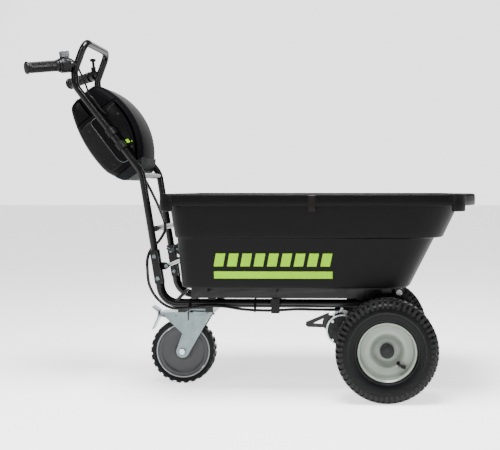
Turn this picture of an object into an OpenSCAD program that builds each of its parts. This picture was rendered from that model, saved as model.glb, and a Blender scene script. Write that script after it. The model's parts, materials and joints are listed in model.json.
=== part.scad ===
// Battery-powered wheelbarrow: a tipping tub on a tube frame, two driven wheels at the front,
// one braked swivel caster at the back and a battery housing between the handle tubes.
// +X is forward, +Y is the machine's left and +Z is up. The origin is on the ground, under
// the middle of the machine.

/* [Tub] */
// Half width over the rim
rim_half = 305; // [296:1:308]
// Height of the rim's top face
rim_top = 612; // [606:1:618]
// Height of the tub's underside
tub_bottom = 327; // [326:0.5:330]
// Wall thickness of the tub
tub_wall = 4; // [3:0.5:6]
// How far forward the pouring lip reaches
lip_x = 695; // [690:1:700]

/* [Frame] */
// Distance of each side tube from the middle
tube_y = 125; // [123:0.5:127]
// Outer diameter of the lower frame tubes
frame_d = 27; // [26:0.5:28]
// Outer diameter of the handle tubes
handle_d = 22; // [20:0.5:22]
// Height of the lower rails' centre line
rail_z = 272; // [270:0.5:274]
// Wall thickness of the tubes
tube_wall = 2; // [1.5:0.1:2.2]

/* [Drive wheels] */
// Outer diameter of the drive tyres
wheel_d = 304; // [296:1:306]
// Width of the drive tyres
tyre_w = 98; // [90:1:98]
// Distance of each drive wheel from the middle
half_track = 261; // [256:1:262]
// Position of the axle along the machine
axle_x = 408; // [404:1:412]

/* [Caster] */
// Outer diameter of the caster wheel
caster_d = 208; // [200:1:210]
// Width of the caster wheel
caster_w = 45; // [40:1:46]
// Position of the swivel axis along the machine
swivel_x = -182; // [-184:1:-180]
// Distance of the caster's axle behind the swivel axis
caster_trail = 59; // [55:1:62]

/* [Housing] */
// Half width of the battery housing
housing_half = 106; // [100:1:107]
// Wall thickness of the battery housing
housing_wall = 3; // [2.5:0.5:4]
// Lean of the upper handle tubes away from upright
handle_lean = 37.5; // [37:0.1:38]

/* [Gears] */
// Teeth on the motor pinion
motor_teeth = 12; // [12]
// Teeth on the large idler gear
idler_teeth = 60; // [60]
// Teeth on the small idler pinion
pinion_teeth = 14; // [14]
// Teeth on the ring gear
ring_teeth = 72; // [72]

/* [Hidden] */
$fn = 48;

// Tubes
frame_r = frame_d / 2;
handle_r = handle_d / 2;
rail_top = rail_z + frame_r;
rail_bottom = rail_z - frame_r;
rail_end_x = 462;
join_lap = 0.4;
join_step = 0.12;

// Side view of the tubes: the rear leg leans 1 in 6, and the handle above it leans by handle_lean
leg_top = [-310, 437];
leg_foot = [leg_top[0] + (leg_top[1] - rail_z) / 6, rail_z];
insert_z = 325;
insert_x = leg_top[0] + (leg_top[1] - insert_z) / 6;
knee = [-350, 677];
elbow = [-558, 948];
loop_foot = [-561, 992];
loop_top = [-527, 1085];
leg_bend = 55;
knee_bend = 70;
elbow_bend = 45;
loop_bend = 32;

// Bars for the grips: they leave the loop and run back, out and a little down
bar_root = [-555, tube_y, 1015];
bar_end = [-684, 212, 992];
bar_len = norm(bar_end - bar_root);
bar_r = handle_r;
grip_r = 17;
grip_flange_r = 19.5;

// Battery housing, drawn in a frame that leans with the handle tubes: t points forward, s up the tube
lean_origin = [-395, 736];
front_arc = [-147, 120, 229];
back_arc = [302, 60, 400];
seam_depth = 15;
lid_s = 168;
lid_t = -25;
cap_s = -32;

// Tub outline: [rear x, front x, half width, rear corner radius, front corner radius]
tub_top_z = rim_top;
step_z = 482;
tub_at_top = [-244, 641, rim_half - 15, 60, 110];
tub_at_step = [-227, 580, 268, 58, 104];
tub_below_step = [-222, 556, 260, 56, 96];
tub_at_bottom = [-213, 479, 222, 50, 80];
rim_rear_x = -262;
rim_front_x = 640;
rim_skirt_z = 577;
lug_z = 561;
support_r = 10;
support_z = 302;
hinge = [449, 309];
hinge_r = 5;

// Drive train: the motor, the idler and the axle lie on one line that rises to the rear
wheel_r = wheel_d / 2;
gear_line = 164.6;
pressure_angle = 25;
motor_module = 1.5;
ring_module = 2;
idler_reach = ring_module * (ring_teeth + pinion_teeth) / 2;
motor_reach = idler_reach + motor_module * (idler_teeth + motor_teeth) / 2;
idler = [axle_x + idler_reach * cos(gear_line), wheel_r + idler_reach * sin(gear_line)];
motor = [axle_x + motor_reach * cos(gear_line), wheel_r + motor_reach * sin(gear_line)];
shaft_r = 10;
box_half = 22;
motor_r = 49;
motor_y = [-132, -box_half];

// Caster
caster_r = caster_d / 2;
caster_x = swivel_x - caster_trail;
plate_top = 243;
plate_t = 4.5;
crown_r = 40;
fork_gap = 28;
fork_t = 4;
caster_bolt = [43, 33];
pedal_pivot = [-318, 214];

// Latch: a hook on the tub that catches a cross bar on the frame; it is drawn open
latch_bar_at = [-276, 386];
latch_pivot = [-262, 432];

// Routes of the two cables, as smooth curves through these points
throttle_route = [[-578, -168, 1026], [-562, -162, 1026], [-546, -152, 1010], [-537, -143, 988],
    [-527, -139, 964], [-519, -137, 942], [-511, -135, 918], [-499, -134, 906], [-483, -131, 883],
    [-471, -124, 868], [-463, -114, 860], [-460, -104, 857]];
harness_route = [[-372, -11, 690], [-367, -13, 660], [-343, -19, 616], [-313, -36, 560],
    [-288, -70, 505], [-300, -96, 466], [-324, -103, 440], [-332, -122, 412], [-329, -140, 380],
    [-321, -147, 330], [-295, -148, 287], [-254, -147, 260], [-197, -146, 260], [-138, -145, 266],
    [-82, -145, 263], [-27, -145, 255], [50, -145, 252], [130, -145, 256], [188, -141, 255],
    [226, -128, 253], [252, -112, 251], [262, -96, 250.5], [263, -76, 250]];
cable_r = 3;
harness_r = 4.5;

black = "#17181a";
steel = "#b9bfc6";

// ---- Helpers ----

function unit(v) = v / norm(v);
function clamp_index(i, n) = max(0, min(n - 1, i));

// A cylinder along Y
module y_rod(at, r, y0, y1) translate([at[0], y0, at[1]]) rotate([-90, 0, 0]) cylinder(r = r, h = y1 - y0);

// A side-view outline, given in x and z, made solid between two values of y
module side_plate(y0, y1) translate([0, y1, 0]) rotate([90, 0, 0]) linear_extrude(y1 - y0) children();

module mirrored() {
    children();
    mirror([0, 1, 0]) children();
}

// A rigid placement: local z along dir, local y as near to "up" as it can be
module along(at, dir, up = [0, 0, 1]) {
    z = unit(dir);
    y = unit(up - (up * z) * z);
    x = cross(y, z);
    multmatrix([[x[0], y[0], z[0], at[0]], [x[1], y[1], z[1], at[1]], [x[2], y[2], z[2], at[2]], [0, 0, 0, 1]])
        children();
}

// Places a shape on a grip bar, dist from the loop; side is -1 for the right bar and 1 for the left
module on_bar(side, dist) {
    root = [bar_root[0], side * bar_root[1], bar_root[2]];
    dir = unit([bar_end[0], side * bar_end[1], bar_end[2]] - root);
    along(root + dist * dir, dir) children();
}

// A run of straight tube and true bends through a list of points; a wall of 0 makes a solid rod.
// The straights run a little into the bends, which are a hair thinner, so that they join cleanly.
function turn(points, i) = acos(unit(points[i] - points[i - 1]) * unit(points[i + 1] - points[i]));

module ring_section(r, wall) difference() {
    circle(r = r);
    if (wall > 0) circle(r = r - wall);
}

module tube_run(points, bends, r, wall = 0) {
    n = len(points);
    set = [for (i = [0:n - 1]) (i == 0 || i == n - 1) ? 0 : bends[i - 1] * tan(turn(points, i) / 2)];
    for (i = [0:n - 2]) {
        dir = unit(points[i + 1] - points[i]);
        start = points[i] + dir * (set[i] - (i > 0 ? join_lap : 0));
        end = points[i + 1] - dir * (set[i + 1] - (i < n - 2 ? join_lap : 0));
        along(start, dir, [0.03, 1, 0.05]) linear_extrude(norm(end - start)) ring_section(r, wall);
    }
    for (i = [1:1:n - 2]) {
        d1 = unit(points[i] - points[i - 1]);
        d2 = unit(points[i + 1] - points[i]);
        inward = unit(d2 - (d2 * d1) * d1);
        centre = points[i] - d1 * set[i] + inward * bends[i - 1];
        x = -inward;
        z = cross(x, d1);
        multmatrix([[x[0], d1[0], z[0], centre[0]], [x[1], d1[1], z[1], centre[1]],
                [x[2], d1[2], z[2], centre[2]], [0, 0, 0, 1]])
            rotate_extrude(angle = turn(points, i)) translate([bends[i - 1], 0])
                ring_section(r - join_step, wall > 0 ? wall - 2 * join_step : 0);
    }
}

// A smooth round cable through a list of points
function between(a, b, c, d, t) =
    (2 * b + (c - a) * t + (2 * a - 5 * b + 4 * c - d) * t * t + (3 * b - a - 3 * c + d) * t * t * t) / 2;

function smooth(points, steps) = [
    for (i = [0:len(points) - 2], j = [0:steps - 1])
        between(points[max(i - 1, 0)], points[i], points[i + 1], points[min(i + 2, len(points) - 1)], j / steps),
    points[len(points) - 1]];

module cable(points, r, steps, sides = 8) {
    p = smooth(points, steps);
    n = len(p);
    rings = [
        for (i = [0:n - 1])
            let (t = unit(p[clamp_index(i + 1, n)] - p[clamp_index(i - 1, n)]),
                a = unit(cross([0.35, 1, 0.2], t)),
                b = cross(t, a))
            for (k = [0:sides - 1])
                p[i] + r * (cos(360 * k / sides) * a + sin(360 * k / sides) * b)];
    walls = [
        for (i = [0:n - 2], k = [0:sides - 1], half = [0, 1])
            let (k2 = (k + 1) % sides, near = i * sides, far = near + sides)
                half == 0 ? [near + k, far + k, far + k2] : [near + k, far + k2, near + k2]];
    ends = [[for (k = [0:sides - 1]) k], [for (k = [0:sides - 1]) n * sides - 1 - k]];
    polyhedron(rings, concat(walls, ends));
}

// An involute gear outline with one tooth centred on the x axis
function involute(a) = tan(a) * 180 / PI - a;

function flank(teeth, m, r) =
    let (base = m * teeth / 2 * cos(pressure_angle))
        90 / teeth - 4.5 / teeth + involute(pressure_angle) - involute(r <= base ? 0 : acos(base / r));

module gear_outline(teeth, m) {
    pitch = m * teeth / 2;
    radii = [pitch - 1.05 * m, max(pitch * cos(pressure_angle), pitch - 0.75 * m), pitch, pitch + 0.8 * m];
    polygon([
        for (i = [0:teeth - 1], side = [-1, 1], k = [0:3])
            let (r = side < 0 ? radii[k] : radii[3 - k], a = 360 * i / teeth + side * flank(teeth, m, r))
                r * [cos(a), sin(a)]]);
}

// A gear on a Y axis; face is the direction that one tooth points in
module gear(at, teeth, m, face, y0, y1)
    side_plate(y0, y1) translate(at) rotate(face) gear_outline(teeth, m);

// ---- Frame ----

function side_point(p, side) = [p[0], side * tube_y, p[1]];

module rail(side, r, wall = 0) tube_run([side_point(leg_top, side), side_point(leg_foot, side),
        [rail_end_x, side * tube_y, rail_z]], [leg_bend], r, wall);

module handle_loop(r, wall = 0) tube_run(
    concat([[insert_x, -tube_y, insert_z]],
        [for (p = [knee, elbow, loop_foot, loop_top]) side_point(p, -1)],
        [for (p = [loop_top, loop_foot, elbow, knee]) side_point(p, 1)],
        [[insert_x, tube_y, insert_z]]),
    [knee_bend, elbow_bend, loop_bend, loop_bend, loop_bend, loop_bend, elbow_bend, knee_bend], r, wall);

bolt_heights = [350, 418];
function leg_x(z) = leg_top[0] + (leg_top[1] - z) / 6;

module joint_bolt_holes(r) for (z = bolt_heights) y_rod([leg_x(z), z], r, -160, 160);

// Hangers that carry the axle tubes under the rails
module axle_hanger(y) difference() {
    side_plate(y - 3, y + 3) {
        polygon([[axle_x - 34, rail_bottom + 4], [axle_x + 34, rail_bottom + 4],
                [axle_x + 24, wheel_r], [axle_x - 24, wheel_r]]);
        translate([axle_x, wheel_r]) circle(r = 27);
    }
    y_rod([axle_x, wheel_r], 19.1, y - 5, y + 5);
}

module main_frame() color(black) difference() {
    union() {
        for (side = [-1, 1]) rail(side, frame_r, 2.2);
        difference() {
            union() {
                // Caster bars, a mid cross member and a front cross tube
                for (x = [-caster_bolt[0], caster_bolt[0]])
                    translate([swivel_x + x - 12, -tube_y, plate_top]) cube([24, 2 * tube_y, 16]);
                translate([54, -tube_y, rail_z - 12]) cube([30, 2 * tube_y, 24]);
                y_rod([rail_end_x - 45, rail_z], 10, -tube_y, tube_y);
                // Hinge ears for the tub
                for (y = [-tube_y - 17, -tube_y + 11, tube_y - 17, tube_y + 11]) side_plate(y, y + 6) {
                    translate(hinge) circle(r = 14);
                    translate([hinge[0] - 14, rail_z]) square([28, hinge[1] - rail_z]);
                }
                // Slanted rests behind the tub's support tubes
                for (y = [-tube_y, tube_y]) side_plate(y - 12, y + 12)
                    polygon([[-246, rail_z + 8], [-232, rail_z + 8], [-203, 311], [-211, 316]]);
                for (side = [-1, 1]) axle_hanger(side * tube_y);
            }
            for (side = [-1, 1]) rail(side, frame_r - 1);
        }
    }
    joint_bolt_holes(4.2);
    y_rod(hinge, hinge_r + 0.05, -160, 160);
    for (x = [-1, 1], y = [-1, 1])
        translate([swivel_x + x * caster_bolt[0], y * caster_bolt[1], plate_top - 5]) cylinder(r = 4.2, h = 30);
}

module handle_frame() color(black) difference() {
    union() {
        handle_loop(handle_r, tube_wall);
        difference() {
            union() {
                for (side = [-1, 1]) on_bar(side, 0) linear_extrude(bar_len - 4) ring_section(bar_r, tube_wall);
                y_rod([-350, 669], 9, -tube_y, tube_y);
                y_rod([-306, 503], 9, -tube_y, tube_y);
            }
            handle_loop(handle_r - 1);
        }
    }
    joint_bolt_holes(4.2);
}

// Inner and outer plates that tie the handle tubes to the legs; the inner ones carry the latch bar
module joint_plates() color(black) mirrored() difference() {
    union() {
        for (y = [tube_y - frame_r - 4.2, tube_y + frame_r + 0.2])
            side_plate(y, y + 4) polygon([[leg_x(333) - 12, 333], [leg_x(333) + 12, 333],
                    [leg_x(437) + 12, 437], [leg_x(437) - 12, 437]]);
        side_plate(tube_y - frame_r - 4.2, tube_y - frame_r - 0.2)
            polygon([[leg_x(386), 398], [latch_bar_at[0], 397], [latch_bar_at[0] + 12, 386],
                    [latch_bar_at[0], 375], [leg_x(386), 372]]);
    }
    joint_bolt_holes(4.2);
    y_rod(latch_bar_at, 6.1, 90, 130);
}

module latch_bar() color(steel) y_rod(latch_bar_at, 6, -tube_y + frame_r - 4, tube_y - frame_r + 4);

module hex_bolt(len, r) {
    cylinder(r = r, h = len);
    translate([0, 0, -5]) cylinder(r = 1.7 * r, h = 5, $fn = 6);
    translate([0, 0, len - 7]) cylinder(r = 1.7 * r, h = 5.5, $fn = 6);
}

module frame_bolts() color(steel) {
    for (z = bolt_heights, side = [-1, 1])
        translate([leg_x(z), side * (tube_y + frame_r + 4.3), z]) rotate([side * 90, 0, 0]) hex_bolt(42.6, 4);
    for (x = [-1, 1], y = [-1, 1])
        translate([swivel_x + x * caster_bolt[0], y * caster_bolt[1], plate_top - plate_t - 0.1])
            hex_bolt(27.7, 4);
}

module rest_buffers() color("#101010") for (x = [-130, 330], side = [-1, 1]) difference() {
    translate([x - 12, side * tube_y - 9, rail_z + 8]) cube([24, 18, support_z - support_r - rail_z - 8.4]);
    tube_run([[x - 20, side * tube_y, rail_z], [x + 20, side * tube_y, rail_z]], [], frame_r + 0.05);
}

module tub_hinge_pins() color(steel) mirrored() {
    y_rod(hinge, hinge_r, tube_y - 22, tube_y + 22);
    y_rod(hinge, 9, tube_y + 17.1, tube_y + 22);
    y_rod(hinge, 9, tube_y - 22, tube_y - 17.1);
}

// ---- Battery housing ----

module leaning() translate(lean_origin) rotate(handle_lean) children();

module housing_outline(inset) intersection() {
    translate([front_arc[0], front_arc[1]]) circle(r = front_arc[2] - inset, $fn = 96);
    translate([back_arc[0], back_arc[1]]) circle(r = back_arc[2] - inset, $fn = 96);
    translate([0, 90]) scale(1 - inset / 140) translate([0, -90])
        polygon([[-64, -61], [22, -61], [60, -25], [140, 60], [140, 180], [66, 243], [4, 245], [-60, 232],
                [-130, 170], [-130, 30], [-92, -5]]);
}

module housing_skin() difference() {
    side_plate(-housing_half, housing_half) leaning() housing_outline(0);
    side_plate(-housing_half + housing_wall, housing_half - housing_wall) leaning()
        housing_outline(housing_wall);
}

module behind_seam(gap) translate([front_arc[0], front_arc[1]]) circle(r = front_arc[2] - seam_depth + gap, $fn = 96);

module panel_screw_holes(r) for (p = [[-55, 0], [-55, 130], [22, 12], [50, 120]])
    side_plate(-120, 120) leaning() translate(p) circle(r = r);

module housing_shell() color(black) difference() {
    intersection() {
        housing_skin();
        side_plate(-150, 150) leaning() difference() {
            intersection() {
                behind_seam(-0.2);
                translate([-150, cap_s + 0.2]) square([300, 400]);
            }
            translate([lid_t - 0.3, lid_s - 0.5]) square([300, 200]);
        }
    }
    panel_screw_holes(2.3);
    side_plate(-120, -90) leaning() translate([22, 136]) circle(r = cable_r + 3.6);
}

module housing_cover() color(black) intersection() {
    housing_skin();
    side_plate(-150, 150) leaning() difference() {
        translate([-150, cap_s + 0.2]) square([300, lid_s - cap_s - 0.7]);
        behind_seam(0.1);
    }
}

module housing_cap() color("#4a4d50") difference() {
    intersection() {
        housing_skin();
        side_plate(-150, 150) leaning() translate([-150, -200]) square([300, 200 + cap_s]);
    }
    along(harness_route[0], harness_route[1] - harness_route[0])
        translate([0, 0, -30]) cylinder(r = harness_r + 1.5, h = 60);
    for (s = [-52, -40])
        side_plate(-80, 80) leaning() translate([-86, s]) square([24, 5]);
}

module side_panels() color(black) mirrored() difference() {
    side_plate(housing_half + 0.1, housing_half + 2.4) leaning() intersection() {
        housing_outline(6);
        behind_seam(-5);
        translate([-150, -22]) square([300, 182]);
    }
    panel_screw_holes(2.3);
    side_plate(90, 130) leaning() translate([22, 136]) circle(r = cable_r + 3.6);
}

clamp_places = [32, 84];

// Saddle clamps that hold the housing to the handle tubes
module housing_clamps() color(black) for (side = [-1, 1], s = clamp_places) {
    tube = (elbow - knee) / norm(elbow - knee);
    at = knee + ((lean_origin - knee) * tube + s) * tube;
    along([at[0], side * tube_y, at[1]], [tube[0], 0, tube[1]], [0, -side, 0])
        translate([0, 0, -12]) difference() {
            linear_extrude(24) difference() {
                union() {
                    circle(r = handle_r + 4);
                    translate([-handle_r - 4, 0]) square([2 * handle_r + 8, tube_y - housing_half - 2.6]);
                }
                circle(r = handle_r + 0.1);
            }
        }
}

module housing_screws() color(steel) mirrored() for (p = [[-55, 0], [-55, 130], [22, 12], [50, 120]]) {
    side_plate(housing_half - 6, housing_half + 2.5) leaning() translate(p) circle(r = 2);
    side_plate(housing_half + 2.5, housing_half + 4.5) leaning() translate(p) circle(r = 4);
}

module battery_lid() color(black) intersection() {
    housing_skin();
    side_plate(-150, 150) leaning() translate([lid_t, lid_s]) square([300, 200]);
}

module battery_pack() color("#2b2e31") {
    side_plate(-72, 72) leaning() translate([-32, 34]) square([82, 126]);
    side_plate(-40, 40) leaning() translate([-15, 160]) square([44, 14]);
}

module battery_socket() color("#2f2f2f") difference() {
    side_plate(-84, 84) leaning() translate([-36, 18]) square([90, 30]);
    side_plate(-72.4, 72.4) leaning() translate([-32.4, 33.6]) square([82.8, 40]);
}

module controller() color("#8d9196") {
    side_plate(-60, 60) leaning() translate([-58, -14]) square([80, 28]);
    for (y = [-50:12.5:50])
        side_plate(y - 1.5, y + 1.5) leaning() translate([-78, -10]) square([20, 22]);
}

// ---- Controls ----

module throttle_housing() color(black) difference() {
    union() {
        on_bar(-1, 22) cylinder(r = 24, h = 26);
        on_bar(-1, 33) translate([-26, 6, 0]) rotate([-90, 0, 0]) cylinder(r = 6, h = 14);
    }
    on_bar(-1, 10) cylinder(r = bar_r + 0.05, h = 60);
    cable_hole();
}

module cable_hole() along(throttle_route[0], throttle_route[1] - throttle_route[0])
    translate([0, 0, -2]) cylinder(r = cable_r + 0.6, h = 60);

module switch_pod() color("#5b6064") on_bar(-1, 33) difference() {
    translate([0, 24.2, 0]) rotate([-90, 0, 0]) union() {
        translate([-13, -12, 0]) cube([26, 24, 18]);
    }
    translate([0, 36, 0]) rotate([-90, 0, 0]) cylinder(r = 6.3, h = 20);
}

module mode_button() color("#d9dcdf") on_bar(-1, 33) translate([0, 39, 0]) rotate([-90, 0, 0]) {
    cylinder(r = 6, h = 6);
}

module throttle_sleeve() color("#1d1d1d") on_bar(-1, 49) difference() {
    union() {
        cylinder(r = 13, h = bar_len - 49 - 3);
        cylinder(r = 21, h = 6);
    }
    translate([0, 0, -1]) cylinder(r = bar_r + 0.08, h = bar_len);
}

module grip_rubber(side, from, bore) on_bar(side, from) difference() {
    union() {
        cylinder(r = grip_r, h = bar_len - from - 4);
        translate([0, 0, bar_len - from - 5]) cylinder(r = grip_flange_r, h = 5);
        for (z = [6:8:bar_len - from - 12]) translate([0, 0, z]) cylinder(r = grip_r + 1, h = 3);
    }
    translate([0, 0, -1]) cylinder(r = bore, h = bar_len - from - 1.9);
}

module right_grip() color("#121212") grip_rubber(-1, 55.2, 13.02);

module left_grip() color("#121212") grip_rubber(1, 44, bar_r + 0.02);

module left_clamp() color(black) on_bar(1, 16) difference() {
    union() {
        translate([0, 0, 4]) cylinder(r = 17, h = 16);
        translate([-5, 12, 4]) cube([10, 18, 13]);
    }
    translate([0, 0, -1]) cylinder(r = bar_r + 0.05, h = 30);
    translate([-3.2, 18, 0]) cube([6.4, 20, 30]);
    translate([-10, 24, 10]) rotate([0, 90, 0]) cylinder(r = 2.5, h = 20);
}

module direction_lever() color("#24262a") on_bar(1, 16) difference() {
    union() {
        translate([-2.9, 24, 10]) rotate([0, 90, 0]) cylinder(r = 5, h = 5.8);
        translate([-2.9, 25, 5]) cube([5.8, 30, 7]);
        translate([-8, 50, 3]) cube([16, 8, 12]);
        translate([-5, 24, 10]) rotate([0, 90, 0]) cylinder(r = 2.45, h = 10);
    }
}

module throttle_cable() color("#111111") cable(throttle_route, cable_r, 5);

module wiring_harness() color("#151515") cable(harness_route, harness_r, 3);

// Nylon ties round the rail and the harness, and the saddle on the mid member
module cable_ties() color("#0c0c0c") {
    for (x = [-197, 5]) {
        z = x < 0 ? 260 : 253;
        translate([x - 2.5, 0, 0]) rotate([90, 0, 90]) linear_extrude(5) difference() {
            hull() {
                translate([-tube_y, rail_z]) circle(r = frame_r + 1.8, $fn = 32);
                translate([-146, z]) circle(r = harness_r + 2, $fn = 32);
            }
            hull() {
                translate([-tube_y, rail_z]) circle(r = frame_r + 0.4, $fn = 32);
                translate([-146, z]) circle(r = harness_r + 0.7, $fn = 32);
            }
        }
    }
    difference() {
        translate([56, -153, 244]) cube([26, 14.3, 44.4]);
        translate([40, -145, 252.6]) rotate([0, 90, 0]) cylinder(r = harness_r + 1.2, h = 60);
    }
}

// ---- Drive ----

module box_outline(grow) {
    translate([axle_x, wheel_r]) circle(r = 80 + grow);
    translate(idler) circle(r = 50 + grow);
    translate(motor) circle(r = 22 + grow);
}

box_lugs = [for (a = [40, 95, 215, 270, 325]) [axle_x + 88 * cos(a), wheel_r + 88 * sin(a)]];

module gearbox_half(y0, y1, wall_y0, wall_y1) difference() {
    union() {
        side_plate(y0, y1) {
            box_outline(4);
            for (p = box_lugs) translate(p) circle(r = 8);
        }
    }
    side_plate(wall_y0, wall_y1) box_outline(0);
    for (p = box_lugs) y_rod(p, 3.2, -60, 60);
    y_rod([axle_x, wheel_r], 21.05, -60, 60);
}

module gearbox_right() color("#3a3d40") difference() {
    gearbox_half(-box_half, -0.05, -box_half + 4, 1);
    y_rod(motor, 9, -60, 0);
    y_rod(idler, 6.05, -box_half + 1, 0);
}

module gearbox_left() color("#3a3d40") difference() {
    gearbox_half(0.05, box_half, -1, box_half - 4);
    y_rod(idler, 6.05, 0, box_half - 1);
}

module gearbox_bolts() color(steel) for (p = box_lugs) {
    y_rod(p, 3, -box_half - 3, box_half + 3);
    y_rod(p, 5.5, -box_half - 4.5, -box_half - 0.1);
    y_rod(p, 5.5, box_half + 0.1, box_half + 4.5);
}

module axle_tubes() color(black) mirrored() difference() {
    union() {
        y_rod([axle_x, wheel_r], 19, box_half + 8.1, 203);
        y_rod([axle_x, wheel_r], 32, box_half + 8.1, box_half + 13);
    }
    y_rod([axle_x, wheel_r], 14, box_half, 210);
    y_rod([axle_x, wheel_r], 16.05, 188, 210);
}

module bearing(y0, y1, outer) {
    difference() {
        y_rod([axle_x, wheel_r], outer, y0, y1);
        y_rod([axle_x, wheel_r], shaft_r + 0.05, y0 - 1, y1 + 1);
    }
}

module axle_bearings() color("#c9ccd0") mirrored() {
    bearing(box_half - 4, box_half + 8, 21);
    bearing(188.2, 202, 16);
}

module axle_shaft() color(steel) {
    y_rod([axle_x, wheel_r], shaft_r, -286, 286);
}

module ring_gear() color("#9aa0a6") difference() {
    union() {
        gear([axle_x, wheel_r], ring_teeth, ring_module, gear_line, -16, -2);
        y_rod([axle_x, wheel_r], 18, -16, 16);
    }
    y_rod([axle_x, wheel_r], shaft_r + 0.02, -30, 30);
    for (a = [0:60:300])
        y_rod([axle_x + 44 * cos(a), wheel_r + 44 * sin(a)], 13, -30, -1);
}

module idler_gear() color("#9aa0a6") {
    gear(idler, pinion_teeth, ring_module, gear_line + 180 + 180 / pinion_teeth, -16, 3);
    gear(idler, idler_teeth, motor_module, gear_line, 3, 13);
    y_rod(idler, 6, -box_half + 1.5, box_half - 1.5);
}

module motor_rotor() color("#a8763e") {
    y_rod(motor, 6, motor_y[0] + 10, -2);
    gear(motor, motor_teeth, motor_module, gear_line + 180 + 180 / motor_teeth, -2, 15);
    y_rod(motor, 30, motor_y[0] + 25, motor_y[1] - 22);
}

module motor_can() color(steel) difference() {
    union() {
        y_rod(motor, motor_r, motor_y[0] + 4, motor_y[1] - 0.1);
        translate([250, -84, 215]) cube([26, 28, 45]);
    }
    y_rod([263, 250], harness_r + 1.2, -95, -70);
    y_rod(motor, 33, motor_y[0] + 14, motor_y[1] - 10);
    y_rod(motor, 6.05, motor_y[0] + 8, 0);
    for (a = [45:90:315])
        y_rod([motor[0] + 40 * cos(a), motor[1] + 40 * sin(a)], 2.6, motor_y[0], motor_y[0] + 20);
}

module motor_cap() color(black) difference() {
    union() {
        y_rod(motor, 44, motor_y[0] - 4, motor_y[0] + 3.9);
        y_rod(motor, 16, motor_y[0] - 9, motor_y[0]);
        for (a = [0:60:300])
            y_rod([motor[0] + 26 * cos(a), motor[1] + 26 * sin(a)], 6, motor_y[0] - 6, motor_y[0]);
    }
    for (a = [45:90:315])
        y_rod([motor[0] + 40 * cos(a), motor[1] + 40 * sin(a)], 2.6, motor_y[0] - 10, motor_y[0] + 20);
}

module motor_screws() color(steel) for (a = [45:90:315]) {
    at = [motor[0] + 40 * cos(a), motor[1] + 40 * sin(a)];
    y_rod(at, 2.5, motor_y[0] - 4, motor_y[0] + 18);
    y_rod(at, 4.2, motor_y[0] - 7, motor_y[0] - 4.1);
}

// A forked strut that keeps the motor from turning with the gearbox
module motor_bracket() color(black) difference() {
    side_plate(-96, -88) difference() {
        union() {
            polygon([[158, 200], [166, 194], [232, 192], [232, 202], [182, 206], [232, 228], [232, 240],
                    [160, 210]]);
            translate([motor[0] - 38, motor[1] + 18]) circle(r = 24);
        }
        translate(motor) circle(r = motor_r + 0.1);
    }
}

module wheel_place(side) translate([axle_x, side * half_track, wheel_r]) rotate([-90 * side, 0, 0]) children();

module tyre(side) color("#1b1b1b") wheel_place(side) rotate_extrude($fn = 96) difference() {
    polygon([[82.05, -36.9], [88.1, -36.9], [88.1, -41], [104, -tyre_w / 2 + 3], [122, -tyre_w / 2], [138, -tyre_w / 2 + 3],
            [wheel_r - 4, -tyre_w / 2 + 10], [wheel_r, -22], [wheel_r, 22], [wheel_r - 4, tyre_w / 2 - 10],
            [138, tyre_w / 2 - 3], [122, tyre_w / 2], [104, tyre_w / 2 - 3], [88.1, 41],
            [88.1, 36.9], [82.05, 36.9]]);
    translate([112, 0]) scale([1, 1]) circle(r = 27);
    translate([80, -26]) square([32, 52]);
}

module rim(side) color("#d7dbd8") wheel_place(side) difference() {
    rotate_extrude($fn = 96) polygon([[10.02, -30], [17, -30], [17, 0], [40, 0], [56, 16], [79, 18],
            [79, -38], [87, -38], [87, -41.5], [88, -41.5], [88, -37], [82, -37], [82, 37], [88, 37],
            [88, 41.5], [85, 41.5], [85, 39], [79, 38], [79, 22], [54, 20], [38, 4], [17, 4], [17, 26],
            [10.02, 26]]);
    rotate([0, 0, side * 47]) translate([48, 0, 0]) cylinder(r = 4.2, h = 30);
}

module hub_cap(side) color("#222426") wheel_place(side) difference() {
    union() {
        translate([0, 0, 4.1]) cylinder(r = 21, h = 20);
        translate([0, 0, 24]) cylinder(r1 = 21, r2 = 18, h = 5);
    }
    translate([0, 0, -1]) cylinder(r = 17.1, h = 28);
}

module valve(side) color("#151515") wheel_place(side) rotate([0, 0, side * 47]) translate([48, 0, 0]) {
    cylinder(r = 4, h = 26);
    translate([0, 0, 26]) rotate([0, 60, 20]) cylinder(r = 3, h = 16);
}

module right_tyre() tyre(-1);
module left_tyre() tyre(1);
module right_rim() rim(-1);
module left_rim() rim(1);
module right_hub_cap() hub_cap(-1);
module left_hub_cap() hub_cap(1);
module right_valve() valve(-1);
module left_valve() valve(1);

// ---- Caster ----

module caster_plate() color(steel) difference() {
    union() {
        translate([swivel_x - 55, -45, plate_top - plate_t]) cube([110, 90, plate_t - 0.05]);
        translate([swivel_x, 0, plate_top - 9]) cylinder(r = 34, h = 6);
    }
    translate([swivel_x, 0, 200]) cylinder(r = 7.6, h = 60);
    for (x = [-1, 1], y = [-1, 1])
        translate([swivel_x + x * caster_bolt[0], y * caster_bolt[1], 200]) cylinder(r = 4.2, h = 60);
}

module fork_leg() {
    polygon([[swivel_x - 37, 230], [swivel_x + 38, 230], [caster_x + 19, caster_r - 8],
            [caster_x - 17, caster_r + 10]]);
    translate([caster_x, caster_r]) circle(r = 20);
}

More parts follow.
